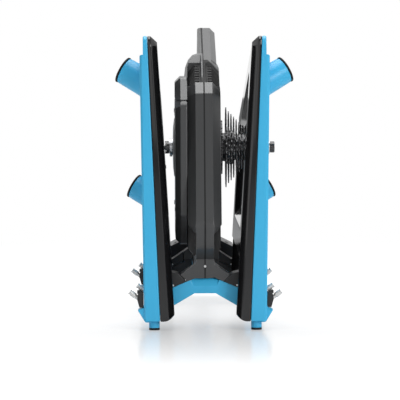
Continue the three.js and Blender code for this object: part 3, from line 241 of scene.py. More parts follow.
def finish(
    name, colour, patch_colour, edge_colour, roughness, grain, depth, metallic=0.0, coat=0.0, shine=0.5
):
    """A finish with its own grain, patches of a second shade, and edges rubbed to a third."""
    material = bpy.data.materials.new(name)
    material.use_nodes = True
    tree = material.node_tree
    shader = tree.nodes["Principled BSDF"].inputs
    shader["Metallic"].default_value = metallic
    shader["Specular IOR Level"].default_value = shine
    shader["Coat Weight"].default_value = coat
    shader["Coat Roughness"].default_value = coat_roughness
    surface = step(tree, "ShaderNodeGroup", {"node_tree": surface_grain}, Scale=grain)
    rub = step(tree, "ShaderNodeGroup", {"node_tree": edge_rub})["Mask"]
    patched = step(
        tree, "ShaderNodeMix", {"data_type": "RGBA"},
        Factor=surface["Patch"], A=(*colour, 1), B=(*patch_colour, 1),
    )["Result"]
    rub_share = step(tree, "ShaderNodeMath", {"operation": "MULTIPLY"}, _0=rub, _1=rub_strength)[0]
    rubbed = step(
        tree, "ShaderNodeMix", {"data_type": "RGBA"}, Factor=rub_share, A=patched, B=(*edge_colour, 1)
    )["Result"]
    least, most = roughness
    rough = step(tree, "ShaderNodeMapRange", Value=surface["Patch"], To_Min=least, To_Max=most)
    bump = step(tree, "ShaderNodeBump", Height=surface["Height"], Distance=depth)
    tree.links.new(rubbed, shader["Base Color"])
    tree.links.new(rough["Result"], shader["Roughness"])
    tree.links.new(bump["Normal"], shader["Normal"])
    return material


paint = finish(
    "satin_blue_paint", (0.029, 0.36, 0.615), (0.034, 0.385, 0.65), (0.06, 0.44, 0.69),
    roughness=(0.34, 0.46), grain=700, depth=0.00006, coat=0.04, shine=0.4,
)


def merged_copy(node, reach=0.00002):
    """The mesh of a CAD piece with corners within reach joined and its flat faces made whole."""
    shape = bmesh.new()
    shape.from_mesh(frame["nodes"][node].data)
    for layer in list(shape.loops.layers.uv):
        shape.loops.layers.uv.remove(layer)
    bmesh.ops.remove_doubles(shape, verts=shape.verts, dist=reach)
    bmesh.ops.dissolve_limit(shape, angle_limit=flat_limit, verts=shape.verts, edges=shape.edges)
    return shape


def folded_faces(shape, slack=1.0005, least=1e-8):
    """The faces of more than four corners whose triangles lie over one another."""
    covered = {}
    for triangle in shape.calc_loop_triangles():
        face = triangle[0].face
        if len(face.verts) > 4:
            area = area_tri(*(corner.vert.co for corner in triangle))
            covered[face] = covered.get(face, 0) + area
    return [face for face, area in covered.items() if area > face.calc_area() * slack + least]


def turns_around(spot, outline):
    """How many times a closed outline runs anticlockwise around a spot."""
    turns = 0
    for start, end in zip(outline, outline[1:] + outline[:1]):
        side = (end - start).cross(spot - start)
        turns += (start.y <= spot.y < end.y and side > 0) - (end.y <= spot.y < start.y and side < 0)
    return turns


def flatten(shape, face, inside_only=1, same_spot=1e-7):
    """Puts triangles in a folded face's place that cover its outline once."""
    middle = face.calc_center_median()
    across = face.normal.orthogonal().normalized()
    up = face.normal.cross(across)
    corners = list(face.verts)
    outline = [
        Vector((across.dot(corner.co - middle), up.dot(corner.co - middle))) for corner in corners
    ]
    spots, _, cells, sources, _, _ = delaunay_2d_cdt(
        outline, [], [range(len(corners))], inside_only, same_spot
    )
    points = [
        corners[source[0]] if source else shape.verts.new(middle + spot.x * across + spot.y * up)
        for spot, source in zip(spots, sources)
    ]
    shape.faces.remove(face)
    for cell in cells:
        centre = sum((spots[index] for index in cell), Vector((0, 0))) / len(cell)
        ends = [points[index] for index in cell]
        unmade = len(set(ends)) == len(ends) and not shape.faces.get(ends)
        if unmade and turns_around(centre, outline) > 0:
            shape.faces.new(ends)


def roll_edges(shape, roll, segments=2, sharp=hard_angle, chosen=None):
    """Rounds the hard edges over by roll, and leaves those too tight to take it."""
    limit, room = math.radians(sharp), 2.1 * roll
    tight = {
        vertex for vertex in shape.verts
        if any(edge.calc_length() < room for edge in vertex.link_edges)
    }
    hard = [
        edge for edge in shape.edges
        if edge.is_manifold and edge.calc_face_angle() > limit
        and not tight.intersection(edge.verts) and (chosen is None or chosen(edge))
    ]
    if hard and roll > 0:
        bmesh.ops.bevel(
            shape, geom=hard, offset=roll, offset_type="OFFSET", segments=segments,
            profile=0.5, affect="EDGES", clamp_overlap=False,
        )
        for face in folded_faces(shape):
            flatten(shape, face)


def put_piece(name, shape, material, body, crease=soft_crease):
    """Makes a piece from a bmesh, flat across edges over the crease angle, and lets it ride."""
    for face in shape.faces:
        face.smooth = True
    for edge in shape.edges:
        if edge.is_manifold:
            edge.smooth = edge.calc_face_angle() < math.radians(crease)
    mesh = bpy.data.meshes.new(name)
    shape.to_mesh(mesh)
    shape.free()
    mesh.materials.clear()
    mesh.materials.append(material)
    piece = bpy.data.objects.new(name, mesh)
    bpy.context.scene.collection.objects.link(piece)
    weighted = piece.modifiers.new("even_shading", "WEIGHTED_NORMAL")
    weighted.keep_sharp = True
    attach(piece, body)
    return piece


def dressed(node, material, roll, crease=soft_crease, shape=None):
    """A CAD piece, or a shape made from it, with its edges rolled over and its finish on."""
    shape = shape or merged_copy(node)
    roll_edges(shape, roll, sharp=min(crease, hard_angle))
    body = frame["nodes"][node]["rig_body"]
    piece = put_piece(node + "_finish", shape, material, body, crease)
    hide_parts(node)
    return piece


casting = merged_copy("base_frame", reach=0.0005)
spine_half_width, spine_foot = 0.015, 0.0495
width_slack, wall_foot_limit = 0.0006, 0.0465
for vertex in casting.verts:
    if abs(vertex.co.x) <= spine_half_width + width_slack and vertex.co.z < wall_foot_limit:
        vertex.co.z = spine_foot
dressed("base_frame", paint, roll=0.0012, crease=facet_crease, shape=casting)

# The spine's sides: thin satin black sheets laid on both sides of the base's spine, below the
# casing, that make it dark there. They fold over its top edges, and a tab turns out against the
# front arch.
spine_dark_sheets = bmesh.new()
sheet_gap, sheet_thickness, sheet_start, sheet_end, tab_reach = 0.00002, 0.00025, -0.234, 0.1375, 0.012
spine_top, spine_edge_radius, fold_reach = 0.0724, 0.0012, 0.0024
side_x = spine_half_width + sheet_gap
outer_x, tab_end_x = side_x + sheet_thickness, side_x + tab_reach
side_top, fold_foot = spine_top - spine_edge_radius, spine_top + sheet_gap
sheets = [
    ((side_x, outer_x), (sheet_start, sheet_end), (spine_foot, fold_foot)),
    ((outer_x, tab_end_x), (sheet_end - sheet_thickness, sheet_end), (spine_foot, side_top)),
    ((side_x - fold_reach, outer_x), (sheet_start, sheet_end), (fold_foot, fold_foot + sheet_thickness)),
]
rings = (0, 1, 3, 2), (4, 6, 7, 5), (0, 4, 5, 1), (2, 3, 7, 6), (0, 2, 6, 4), (1, 5, 7, 3)
for x_range, y_range, z_range in sheets:
    for sign in (-1, 1):
        spots = [
            spine_dark_sheets.verts.new((x * sign, y, z)) for x in x_range for y in y_range for z in z_range
        ]
        for ring in rings:
            spine_dark_sheets.faces.new([spots[index] for index in ring])
bmesh.ops.recalc_face_normals(spine_dark_sheets, faces=spine_dark_sheets.faces)
cover_plastic = finish(
    "satin_black_moulding", (0.012, 0.012, 0.013), (0.018, 0.018, 0.019), (0.045, 0.045, 0.047),
    roughness=(0.36, 0.46), grain=1200, depth=0.00005, shine=0.35,
)
put_piece("spine_side_dark_sheets", spine_dark_sheets, cover_plastic, "base")

# The four hinge pins: ground steel rods that each pass through an arch and a wing. A spring clip
# on the forward end keeps each in its bore.
steel = finish(
    "ground_steel", (0.55, 0.56, 0.58), (0.46, 0.47, 0.49), (0.7, 0.7, 0.72),
    roughness=(0.2, 0.34), grain=500, depth=0.00003, metallic=1.0,
)
same_place = 0.0000005


def turned(profile, origin, axis, steps):
    """A ring or disc turned about an axis from its closed profile of (distance along, radius)."""
    shape = bmesh.new()
    along = Vector(axis).normalized()
    across = along.orthogonal().normalized()
    beside = along.cross(across)
    rows = []
    for distance, radius in profile:
        row = []
        for index in range(steps):
            turn = 2 * math.pi * index / steps
            out = across * math.cos(turn) + beside * math.sin(turn)
            row.append(shape.verts.new(Vector(origin) + along * distance + out * radius))
        rows.append(row)
    for row, after in zip(rows, rows[1:] + rows[:1]):
        for index in range(steps):
            following = (index + 1) % steps
            shape.faces.new((row[index], row[following], after[following], after[index]))
    bmesh.ops.remove_doubles(shape, verts=shape.verts, dist=same_place)
    bmesh.ops.recalc_face_normals(shape, faces=shape.faces)
    return shape


hinge_x, hinge_z = 0.069, 0.035
clip_bore, clip_rim, clip_width, clip_gap = 0.0046, 0.0049, 0.0008, 0.00001
clip_profile = [(0, clip_bore), (0, clip_rim), (clip_width, clip_rim), (clip_width, clip_bore)]
for side, sign in (("left", -1), ("right", 1)):
    for end in ("rear", "front"):
        dressed(f"hinge_pin_{end}_{side}", steel, roll=0.0007)
        low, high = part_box(f"hinge_pin_{end}_{side}")
        clip_place = (sign * hinge_x, high[1] + clip_gap, hinge_z)
        clip = turned(clip_profile, clip_place, (0, 1, 0), steps=24)
        put_piece(f"hinge_clip_{end}_{side}", clip, steel, "base")

# The casing: two injection moulded halves in a fine spark textured dark grey, with a black strip
# standing over the groove between their rolled edges as painted shade for the groove's shadow.
# Black screws in the left half's flank and one small bright screw, low on the seam, hold them
# together.
casing_plastic = finish(
    "textured_grey_moulding", (0.034, 0.035, 0.036), (0.041, 0.042, 0.043), (0.085, 0.085, 0.088),
    roughness=(0.3, 0.4), grain=1600, depth=0.00005,
)
seam_half, seam_reach, seam_roll, facet_roll = 0.0004, 0.00005, 0.0010, 0.0009


def crisp_case(node, sign):
    """A casing half with crisp facets and a wide roll along the seam."""
    shape = merged_copy(node)

    def on_seam(edge):
        """Whether an edge runs along the seam."""
        return all(abs(vertex.co.x - sign * seam_half) < seam_reach for vertex in edge.verts)

    roll_edges(shape, seam_roll, chosen=on_seam)
    roll_edges(shape, facet_roll, sharp=facet_crease, chosen=lambda edge: not on_seam(edge))
    piece = put_piece(node + "_finish", shape, casing_plastic, "base", facet_crease)
    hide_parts(node)
    return piece


crisp_case("shell_right", 1)
case_left = crisp_case("shell_left", -1)

# Painted shade: a black strip just proud of the seam stands in for the shadow in its groove.
seam_shade_strip = merged_copy("shell_right")
seam_shade_width, seam_shade_half, seam_shade_stand, facing_left = 0.0011, 0.0011, 0.0002, -0.99
elsewhere = [
    face for face in seam_shade_strip.faces
    if face.normal.x >= facing_left or abs(face.calc_center_median().x - seam_half) >= seam_reach
]
bmesh.ops.delete(seam_shade_strip, geom=elsewhere, context="FACES")
inner = bmesh.ops.inset_region(seam_shade_strip, faces=seam_shade_strip.faces, thickness=seam_shade_width)
bmesh.ops.delete(seam_shade_strip, geom=inner["faces"], context="FACES")
for vertex in seam_shade_strip.verts:
    vertex.co.x = -seam_shade_half
lifted = bmesh.ops.extrude_face_region(seam_shade_strip, geom=seam_shade_strip.faces[:])
for item in lifted["geom"]:
    if isinstance(item, bmesh.types.BMVert):
        item.co.x = seam_shade_half
bmesh.ops.recalc_face_normals(seam_shade_strip, faces=seam_shade_strip.faces)
seam_shade_strip.normal_update()
for vertex in seam_shade_strip.verts:
    outward = Vector((0, vertex.normal.y, vertex.normal.z))
    if outward.length > 0:
        vertex.co += outward.normalized() * seam_shade_stand
rubber = finish(
    "black_rubber", (0.005, 0.005, 0.0055), (0.009, 0.009, 0.009), (0.02, 0.02, 0.02),
    roughness=(0.6, 0.75), grain=800, depth=0.00012, shine=0.25,
)
put_piece("seam_painted_shade_strip", seam_shade_strip, rubber, "base")


def size_tree(name, sizes):
    """A geometry tree whose sizes are named inputs, and the sockets that lead in and out of it."""
    takes = [("Geometry", "Geometry", None), *sizes]
    return named_tree("GeometryNodeTree", name, takes, gives=[("Geometry", "Geometry")])


def reckon(tree, operation, first, second=0.0, third=0.0):
    """One step of arithmetic in a tree."""
    return step(tree, "ShaderNodeMath", {"operation": operation}, _0=first, _1=second, _2=third)[0]


def set_down(tree, thing, given, made):
    """Ends a tree: the thing on each spot, turned the way the spot faces, with its finish on."""
    facing = step(tree, "GeometryNodeInputNamedAttribute", {"data_type": "FLOAT_VECTOR"}, Name="facing")
    aimed = step(tree, "FunctionNodeAlignRotationToVector", {"axis": "Z"}, Vector=facing["Attribute"])
    spread = step(
        tree, "GeometryNodeInstanceOnPoints", Points=given["Geometry"], Instance=thing,
        Rotation=aimed["Rotation"],
    )
    whole = step(tree, "GeometryNodeRealizeInstances", Geometry=spread[0])
    coated = step(tree, "GeometryNodeSetMaterial", Geometry=whole[0], Material=given["Finish"])
    tree.links.new(coated[0], made["Geometry"])


screw_tree, given, made = size_tree("screw_heads", [
    ("Head Radius", "Float", 0.003), ("Head Height", "Float", 0.0012),
    ("Recess Radius", "Float", 0.0015), ("Recess Depth", "Float", 0.001),
    ("Sides", "Int", 24), ("Finish", "Material", None),
])
brow_rise, crown_scale = 0.4, 0.84
blank = step(
    screw_tree, "GeometryNodeMeshCylinder", Vertices=given["Sides"], Radius=given["Head Radius"],
    Depth=reckon(screw_tree, "MULTIPLY", given["Head Height"], 2.0),
)
brow = step(
    screw_tree, "GeometryNodeExtrudeMesh", Mesh=blank["Mesh"], Selection=blank["Top"],
    Offset_Scale=reckon(screw_tree, "MULTIPLY", given["Head Height"], brow_rise), Individual=False,
)
crown = step(
    screw_tree, "GeometryNodeScaleElements", Geometry=brow["Mesh"], Selection=brow["Top"],
    Scale=crown_scale,
)
shelf = step(
    screw_tree, "GeometryNodeExtrudeMesh", Mesh=crown[0], Selection=brow["Top"], Offset_Scale=0.0,
    Individual=False,
)
mouth = step(
    screw_tree, "GeometryNodeScaleElements", Geometry=shelf["Mesh"], Selection=shelf["Top"],
    Scale=reckon(screw_tree, "DIVIDE", given["Recess Radius"], given["Head Radius"]),
)
well = step(
    screw_tree, "GeometryNodeExtrudeMesh", Mesh=mouth[0], Selection=shelf["Top"],
    Offset_Scale=reckon(screw_tree, "MULTIPLY", given["Recess Depth"], -1.0), Individual=False,
)
set_down(screw_tree, well["Mesh"], given, made)


def grown(tree, spots, sizes):
    """The plain mesh that a geometry tree makes of a cloud of (place, facing) spots."""
    cloud = bpy.data.meshes.new("spots")
    cloud.from_pydata([place for place, _ in spots], [], [])
    facing = cloud.attributes.new("facing", "FLOAT_VECTOR", "POINT")
    for index, (_, heading) in enumerate(spots):
        facing.data[index].vector = heading
    seed = bpy.data.objects.new("seed", cloud)
    bpy.context.scene.collection.objects.link(seed)
    modifier = seed.modifiers.new("grow", "NODES")
    modifier.node_group = tree
    for item in tree.interface.items_tree:
        if item.item_type == "SOCKET" and item.in_out == "INPUT" and item.name in sizes:
            modifier[item.identifier] = sizes[item.name]
    bpy.context.view_layer.update()
    finished = seed.evaluated_get(bpy.context.evaluated_depsgraph_get())
    mesh = bpy.data.meshes.new_from_object(finished)
    bpy.data.objects.remove(seed)
    shape = bmesh.new()
    shape.from_mesh(mesh)
    bmesh.ops.remove_doubles(shape, verts=shape.verts, dist=same_place)
    return shape


def grow(name, tree, spots, sizes, body):
    """Grows a piece from its spots and puts it in place."""
    return put_piece(name, grown(tree, spots, sizes), sizes["Finish"], body)


def landed(piece, shots):
    """Where straight lines from a start along a heading meet a piece, and how its face looks there."""
    bpy.context.view_layer.update()
    spots = []
    for start, heading in shots:
        hit, place, looks, _ = piece.ray_cast(Vector(start), Vector(heading).normalized())
        if hit:
            spots.append((place, looks))
    return spots


black_steel = finish(
    "blackened_steel", (0.022, 0.022, 0.024), (0.04, 0.04, 0.04), (0.35, 0.35, 0.36),
    roughness=(0.22, 0.36), grain=900, depth=0.00004, metallic=0.9,
)
nickel = finish(
    "satin_nickel_plate", (0.62, 0.62, 0.61), (0.56, 0.56, 0.55), (0.8, 0.8, 0.8),
    roughness=(0.36, 0.46), grain=300, depth=0.00001, metallic=0.55,
)
rear_of_all, left_of_all = -0.6, -0.2
seam_screw_x, seam_screw_z = -0.0014, 0.0900
found = landed(case_left, [((seam_screw_x, rear_of_all, seam_screw_z), (0, 1, 0))])
seam_screw = [((0, place.y, place.z), (0, -1, 0)) for place, _ in found]
grow("seam_screw", screw_tree, seam_screw, {
    "Head Radius": 0.0018, "Head Height": 0.0010, "Recess Radius": 0.0008, "Recess Depth": 0.0007,
    "Finish": nickel,
}, "base")
flank_spots = [
    (0.02, 0.385), (0.10, 0.335), (0.19, 0.245), (0.265, 0.165), (0.275, 0.115), (-0.04, 0.135),
    (0.12, 0.125),
]
case_screws = landed(case_left, [((left_of_all, y, z), (1, 0, 0)) for y, z in flank_spots])
grow("casing_screws", screw_tree, case_screws, {
    "Head Radius": 0.0036, "Head Height": 0.0007, "Recess Radius": 0.0018, "Recess Depth": 0.0009,
    "Finish": black_steel,
}, "base")

# The vents: two louvred inserts in matt black moulding, clipped into the bed behind the rim, each
# with a near-black sheet behind its slots as painted shade for the dark inside seen through them,
# and a black bezel over the bed's cheeks.
matt_black = finish(
    "matt_black_moulding", (0.010, 0.010, 0.010), (0.014, 0.014, 0.014), (0.05, 0.05, 0.05),
    roughness=(0.5, 0.6), grain=1200, depth=0.00005, shine=0.12,
)
vent_shade_black = finish(
    "vent_painted_shade_black", (0.002, 0.002, 0.002), (0.003, 0.003, 0.003), (0.004, 0.004, 0.004),
    roughness=(0.7, 0.8), grain=2400, depth=0.0001, shine=0.1,
)
shade_sheet_inset, bezel_stand, bezel_thickness = 0.00128, 0.0003, 0.0004
bed_least_rise, bed_lean, bed_reach = 0.6, (-0.36, -0.2), 0.004
bezel_corner_x, bezel_corner_z, bezel_cut = 0.0115, 0.382, (0.66, 0.75)
for side, sign in (("left", -1), ("right", 1)):
    grille = f"vent_grille_{side}"
    dressed(grille, matt_black, roll=0.0003)
    # Painted shade: a near-black sheet just inside the grille's hull darkens what shows through its
    # slots.
    vent_shade_sheet = merged_copy(grille)
    hull = bmesh.ops.convex_hull(vent_shade_sheet, input=vent_shade_sheet.verts)
    kept = {item for item in hull["geom"] if isinstance(item, bmesh.types.BMFace)}
    bmesh.ops.delete(vent_shade_sheet, geom=[face for face in vent_shade_sheet.faces if face not in kept], context="FACES")
    loose = [vertex for vertex in vent_shade_sheet.verts if not vertex.link_faces]
    bmesh.ops.delete(vent_shade_sheet, geom=loose, context="VERTS")
    bmesh.ops.dissolve_limit(vent_shade_sheet, angle_limit=flat_limit, verts=vent_shade_sheet.verts, edges=vent_shade_sheet.edges)
    vent_shade_sheet.normal_update()
    for vertex in vent_shade_sheet.verts:
        vertex.co -= vertex.normal * shade_sheet_inset
    put_piece(f"vent_painted_shade_sheet_{side}", vent_shade_sheet, vent_shade_black, "base")
    bezel = merged_copy(f"shell_{side}")
    low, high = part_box(grille)
    bed = [
        face for face in bezel.faces
        if face.normal.z > bed_least_rise and bed_lean[0] < face.normal.y < bed_lean[1]
        and low[1] < face.calc_center_median().y < high[1]
        and face.calc_center_median().z < high[2] + bed_reach
    ]
    bmesh.ops.delete(bezel, geom=[face for face in bezel.faces if face not in bed], context="FACES")
    bmesh.ops.bisect_plane(
        bezel, geom=bezel.verts[:] + bezel.edges[:] + bezel.faces[:], clear_outer=True,
        plane_co=(sign * bezel_corner_x, 0, bezel_corner_z),
        plane_no=(sign * bezel_cut[0], 0, bezel_cut[1]),
    )
    bezel.normal_update()
    for vertex in bezel.verts:
        vertex.co += vertex.normal * bezel_stand
    bmesh.ops.solidify(bezel, geom=bezel.faces[:], thickness=bezel_thickness)
    put_piece(f"vent_bezel_{side}", bezel, matt_black, "base", facet_crease)

# The motor cover: a dark grey moulded lid over the drive electronics, with a shadow groove round
# it below its top facet, and held at its corners by four black screws.
lid = merged_copy("motor_cover")
groove_low, groove_high, groove_lip, groove_depth = 0.3268, 0.3302, 0.0003, 0.0013
near_groove, band_slack, least_level = 0.0002, 0.0001, 0.9
for height in (groove_low, groove_high):
    bmesh.ops.bisect_plane(
        lid, geom=lid.verts[:] + lid.edges[:] + lid.faces[:],
        plane_co=(0, 0, height), plane_no=(0, 0, 1),
    )


def off_groove(edge):
    """Whether both ends of an edge keep clear of both lines of the groove."""
    heights = [vertex.co.z for vertex in edge.verts]
    return all(abs(z - line) > near_groove for z in heights for line in (groove_low, groove_high))


roll_edges(lid, roll=0.0012, chosen=off_groove)
band = [
    face for face in lid.faces
    if groove_low - band_slack < min(vertex.co.z for vertex in face.verts)
    and max(vertex.co.z for vertex in face.verts) < groove_high + band_slack
    and abs(face.normal.z) < least_level
]
bmesh.ops.inset_region(
    lid, faces=band, thickness=groove_lip, depth=-groove_depth, use_even_offset=True
)
motor_lid = put_piece("motor_cover_finish", lid, casing_plastic, "base", facet_crease)
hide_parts("motor_cover")
low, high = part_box("motor_cover")
screw_y_inset, screw_z_inset = 0.030, 0.052
lid_corners = [
    (y, z) for z in (high[2] - screw_z_inset, low[2] + screw_z_inset)
    for y in (low[1] + screw_y_inset, high[1] - screw_y_inset)
]
lid_screws = landed(motor_lid, [((left_of_all, y, z), (1, 0, 0)) for y, z in lid_corners])
grow("motor_cover_screws", screw_tree, lid_screws, {
    "Head Radius": 0.0034, "Head Height": 0.0007, "Recess Radius": 0.0017, "Recess Depth": 0.0009,
    "Finish": black_steel,
}, "base")

# The hub dish: a shallow round cap in the middle of the motor cover, moulded in the same dark
# grey. It is pressed in over the axle's bearing.
dressed("hub_dish", casing_plastic, roll=0.0004)

# The nose cover: a wide shoe moulded in satin black over the front end of the spine, where two
# black screws on its top hold it.
shoe = dressed("nose_cover", cover_plastic, roll=0.0012)
shoe_screw_x, shoe_screw_y, above_shoe = 0.041, 0.222, 0.2
shoe_shots = [((x, shoe_screw_y, above_shoe), (0, 0, -1)) for x in (-shoe_screw_x, shoe_screw_x)]
grow("nose_cover_screws", screw_tree, landed(shoe, shoe_shots), {
    "Head Radius": 0.0032, "Head Height": 0.0007, "Recess Radius": 0.0016, "Recess Depth": 0.0009,
    "Finish": black_steel,
}, "base")

# The arch covers and aprons: satin black moulded plates that close the arches beside the casing's
# skirts. One small bright screw at its lower corner holds each cover.
tab_screws = []
tab_screw_x, tab_screw_z, before_plate = 0.0462, 0.0625, 0.1
for side, sign in (("left", -1), ("right", 1)):
    for end in ("rear", "front"):
        plate = dressed(f"arch_cover_{end}_{side}", cover_plastic, roll=0.0009)
        plate_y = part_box(f"arch_cover_{end}_{side}")[0][1]
        shot_from = (sign * tab_screw_x, plate_y - before_plate, tab_screw_z)
        tab_screws += landed(plate, [(shot_from, (0, 1, 0))])
    dressed(f"arch_apron_{side}", cover_plastic, roll=0.0003)
grow("arch_cover_screws", screw_tree, tab_screws, {
    "Head Radius": 0.0014, "Head Height": 0.0006, "Recess Radius": 0.0006, "Recess Depth": 0.0004,
    "Finish": nickel,
}, "base")

# The axle and what is clamped on it: a hollow ground steel axle, turned end caps, the left one
# with a flange, and a blackened skewer with a knurled head and a knurled thumb nut.
dressed("axle", steel, roll=0.0004)
dressed("end_cap_left", steel, roll=0.0005)
dressed("end_cap_right", steel, roll=0.0005)


def middle_of(node):
    """The middle of a CAD piece's box."""
    return [(a + b) / 2 for a, b in zip(*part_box(node))]


flange_bore, flange_face, flange_rim = 0.0105, 0.0132, 0.0136
flange_ease, flange_width, flange_stand = 0.0003, 0.0040, 0.0036
flange_profile = [
    (0, flange_bore), (0, flange_face), (flange_ease, flange_rim), (flange_width, flange_rim),
    (flange_width, flange_bore),
]
flange_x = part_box("end_cap_left")[0][0] - flange_stand
flange = turned(flange_profile, (flange_x, *middle_of("end_cap_left")[1:]), (1, 0, 0), steps=48)
put_piece("end_cap_flange_left", flange, steel, "base")
nut_black = finish(
    "polished_black_nut", (0.02, 0.02, 0.021), (0.03, 0.03, 0.03), (0.2, 0.2, 0.2),
    roughness=(0.16, 0.26), grain=900, depth=0.00002, metallic=0.4, coat=0.6,
)
dressed("skewer", nut_black, roll=0.0006)
dressed("skewer_nut", nut_black, roll=0.0006)
hub_line = Vector((0, *middle_of("lockring")[1:]))
knurl_tree, given, made = size_tree("knurled_ring", [
    ("Ring Radius", "Float", 0.010), ("Rib Length", "Float", 0.006), ("Rib Width", "Float", 0.0009),
    ("Rib Height", "Float", 0.0009), ("Ribs", "Int", 36), ("Finish", "Material", None),
])
ring = step(knurl_tree, "GeometryNodeMeshCircle", Vertices=given["Ribs"], Radius=given["Ring Radius"])
bar_size = step(
    knurl_tree, "ShaderNodeCombineXYZ", X=given["Rib Height"], Y=given["Rib Width"],
    Z=given["Rib Length"],
)
bar = step(knurl_tree, "GeometryNodeMeshCube", Size=bar_size[0])
outward = step(knurl_tree, "GeometryNodeInputPosition")
turn = step(knurl_tree, "FunctionNodeAlignRotationToVector", {"axis": "X"}, Vector=outward[0])
bars = step(
    knurl_tree, "GeometryNodeInstanceOnPoints", Points=ring[0], Instance=bar[0], Rotation=turn[0]
)
knurl = step(knurl_tree, "GeometryNodeRealizeInstances", Geometry=bars[0])
set_down(knurl_tree, knurl[0], given, made)
for side, x, radius, ribs in (("left", -0.0545, 0.0090, 30), ("right", 0.1015, 0.0080, 28)):
    spot = (Vector((x, hub_line.y, hub_line.z)), Vector((1, 0, 0)))
    grow(f"nut_knurl_{side}", knurl_tree, [spot], {
        "Ring Radius": radius, "Rib Length": 0.0052, "Rib Width": 0.0007, "Rib Height": 0.0006,
        "Ribs": ribs, "Finish": nut_black,
    }, "base")

# Inside the casing: two pressed-in steel bearings, the stator wound with copper wire, the green
# lacquered control board, and the black moulded power inlet at the front.
dressed("bearing_left", steel, roll=0.0004)
dressed("bearing_right", steel, roll=0.0004)
copper = finish(
    "wound_copper", (0.55, 0.22, 0.08), (0.42, 0.16, 0.06), (0.65, 0.3, 0.14),
    roughness=(0.3, 0.45), grain=600, depth=0.0001, metallic=0.9,
)
dressed("stator", copper, roll=0)
board_green = finish(
    "board_lacquer", (0.012, 0.11, 0.045), (0.02, 0.15, 0.06), (0.2, 0.18, 0.08),
    roughness=(0.25, 0.4), grain=400, depth=0.00005,
)
dressed("circuit_board", board_green, roll=0)
dressed("power_inlet", cover_plastic, roll=0.0003)

# The rotor: a machined steel disc with its magnet ring pressed in, and the blackened, pierced
# flange outside the casing that the freehub turns against.
dressed("rotor_disc", steel, roll=0.0005)
dressed("magnet_ring", black_steel, roll=0.0005)
dressed("drive_flange", black_steel, roll=0.0002)

# The freehub: a carrier turned in blackened steel that runs on the axle. The sprockets slide on
# it from its open end.
dressed("freehub_body", black_steel, roll=0.0003)

# The sprockets: eleven thin stamped steel discs, blackened, from 28 teeth down to 11. The large
# three share one carrier and are lightened by windows, the next three share another, and the rest
# slide on one by one. A round collar keeps each apart from the next.
sprocket_tree, given, made = size_tree("sprocket", [
    ("Teeth", "Int", 28), ("Pitch", "Float", 0.0127), ("Tip Height", "Float", 0.0028),
    ("Root Depth", "Float", 0.0038), ("Bore Radius", "Float", 0.0176), ("Thickness", "Float", 0.0014),
    ("Windows", "Int", 5), ("Window Inner", "Float", 0.028), ("Rim", "Float", 0.005),
    ("Window Share", "Float", 0.56), ("Finish", "Material", None),
])


def sum_of(operation, *terms):
    """One step of arithmetic in the sprocket tree."""
    return reckon(sprocket_tree, operation, *terms)


tooth_samples = 8
half_step = sum_of("DIVIDE", math.pi, given["Teeth"])
pitch_radius = sum_of("DIVIDE", given["Pitch"], sum_of("MULTIPLY", sum_of("SINE", half_step), 2.0))
tip_radius = sum_of("ADD", pitch_radius, given["Tip Height"])
root_radius = sum_of("SUBTRACT", pitch_radius, given["Root Depth"])
count = sum_of("MULTIPLY", given["Teeth"], float(tooth_samples))
round_blank = step(sprocket_tree, "GeometryNodeMeshCircle", Vertices=count, Radius=1.0)
index = step(sprocket_tree, "GeometryNodeInputIndex")[0]
phase = sum_of("FRACT", sum_of("DIVIDE", index, float(tooth_samples)))
from_tip = sum_of("ABSOLUTE", sum_of("MULTIPLY_ADD", phase, 2.0, -1.0))
tooth_radius = step(
    sprocket_tree, "ShaderNodeMapRange", {"interpolation_type": "SMOOTHSTEP"}, Value=from_tip,
    From_Min=0.08, From_Max=0.84, To_Min=tip_radius, To_Max=root_radius,
)[0]
here = step(sprocket_tree, "GeometryNodeInputPosition")[0]
tooth_spot = step(
    sprocket_tree, "ShaderNodeVectorMath", {"operation": "SCALE"}, _0=here, Scale=tooth_radius
)[0]
toothed = step(sprocket_tree, "GeometryNodeSetPosition", Geometry=round_blank[0], Position=tooth_spot)
tooth_line = step(sprocket_tree, "GeometryNodeMeshToCurve", Mesh=toothed[0])
bore_line = step(
    sprocket_tree, "GeometryNodeCurvePrimitiveCircle", Resolution=64, Radius=given["Bore Radius"]
)
window_samples = 24
window_blank = step(sprocket_tree, "GeometryNodeMeshCircle", Vertices=window_samples, Radius=1.0)
outer_run = sum_of("LESS_THAN", index, window_samples / 2)
along_run = sum_of("DIVIDE", index, window_samples / 2 - 1)
back_run = sum_of("DIVIDE", sum_of("SUBTRACT", window_samples - 1.0, index), window_samples / 2 - 1)
run_gap = sum_of("SUBTRACT", along_run, back_run)
run_share = sum_of("MULTIPLY_ADD", run_gap, outer_run, back_run)
half_window = sum_of("DIVIDE", sum_of("MULTIPLY", given["Window Share"], math.pi), given["Windows"])
swing = sum_of("MULTIPLY", sum_of("MULTIPLY_ADD", run_share, 2.0, -1.0), half_window)
window_outer = sum_of("SUBTRACT", root_radius, given["Rim"])
window_depth = sum_of("SUBTRACT", window_outer, given["Window Inner"])
window_radius = sum_of("MULTIPLY_ADD", window_depth, outer_run, given["Window Inner"])
window_spot = step(
    sprocket_tree, "ShaderNodeCombineXYZ", X=sum_of("MULTIPLY", sum_of("COSINE", swing), window_radius),
    Y=sum_of("MULTIPLY", sum_of("SINE", swing), window_radius),
)[0]
window_shape = step(
    sprocket_tree, "GeometryNodeSetPosition", Geometry=window_blank[0], Position=window_spot
)
window_line = step(sprocket_tree, "GeometryNodeMeshToCurve", Mesh=window_shape[0])
corner_count = 4
window_soft = step(
    sprocket_tree, "GeometryNodeFilletCurve", {"mode": "POLY"}, Curve=window_line[0],
    Radius=0.0035, Count=corner_count, Limit_Radius=True,
)
around = step(sprocket_tree, "GeometryNodePoints", Count=given["Windows"], Radius=0.001)
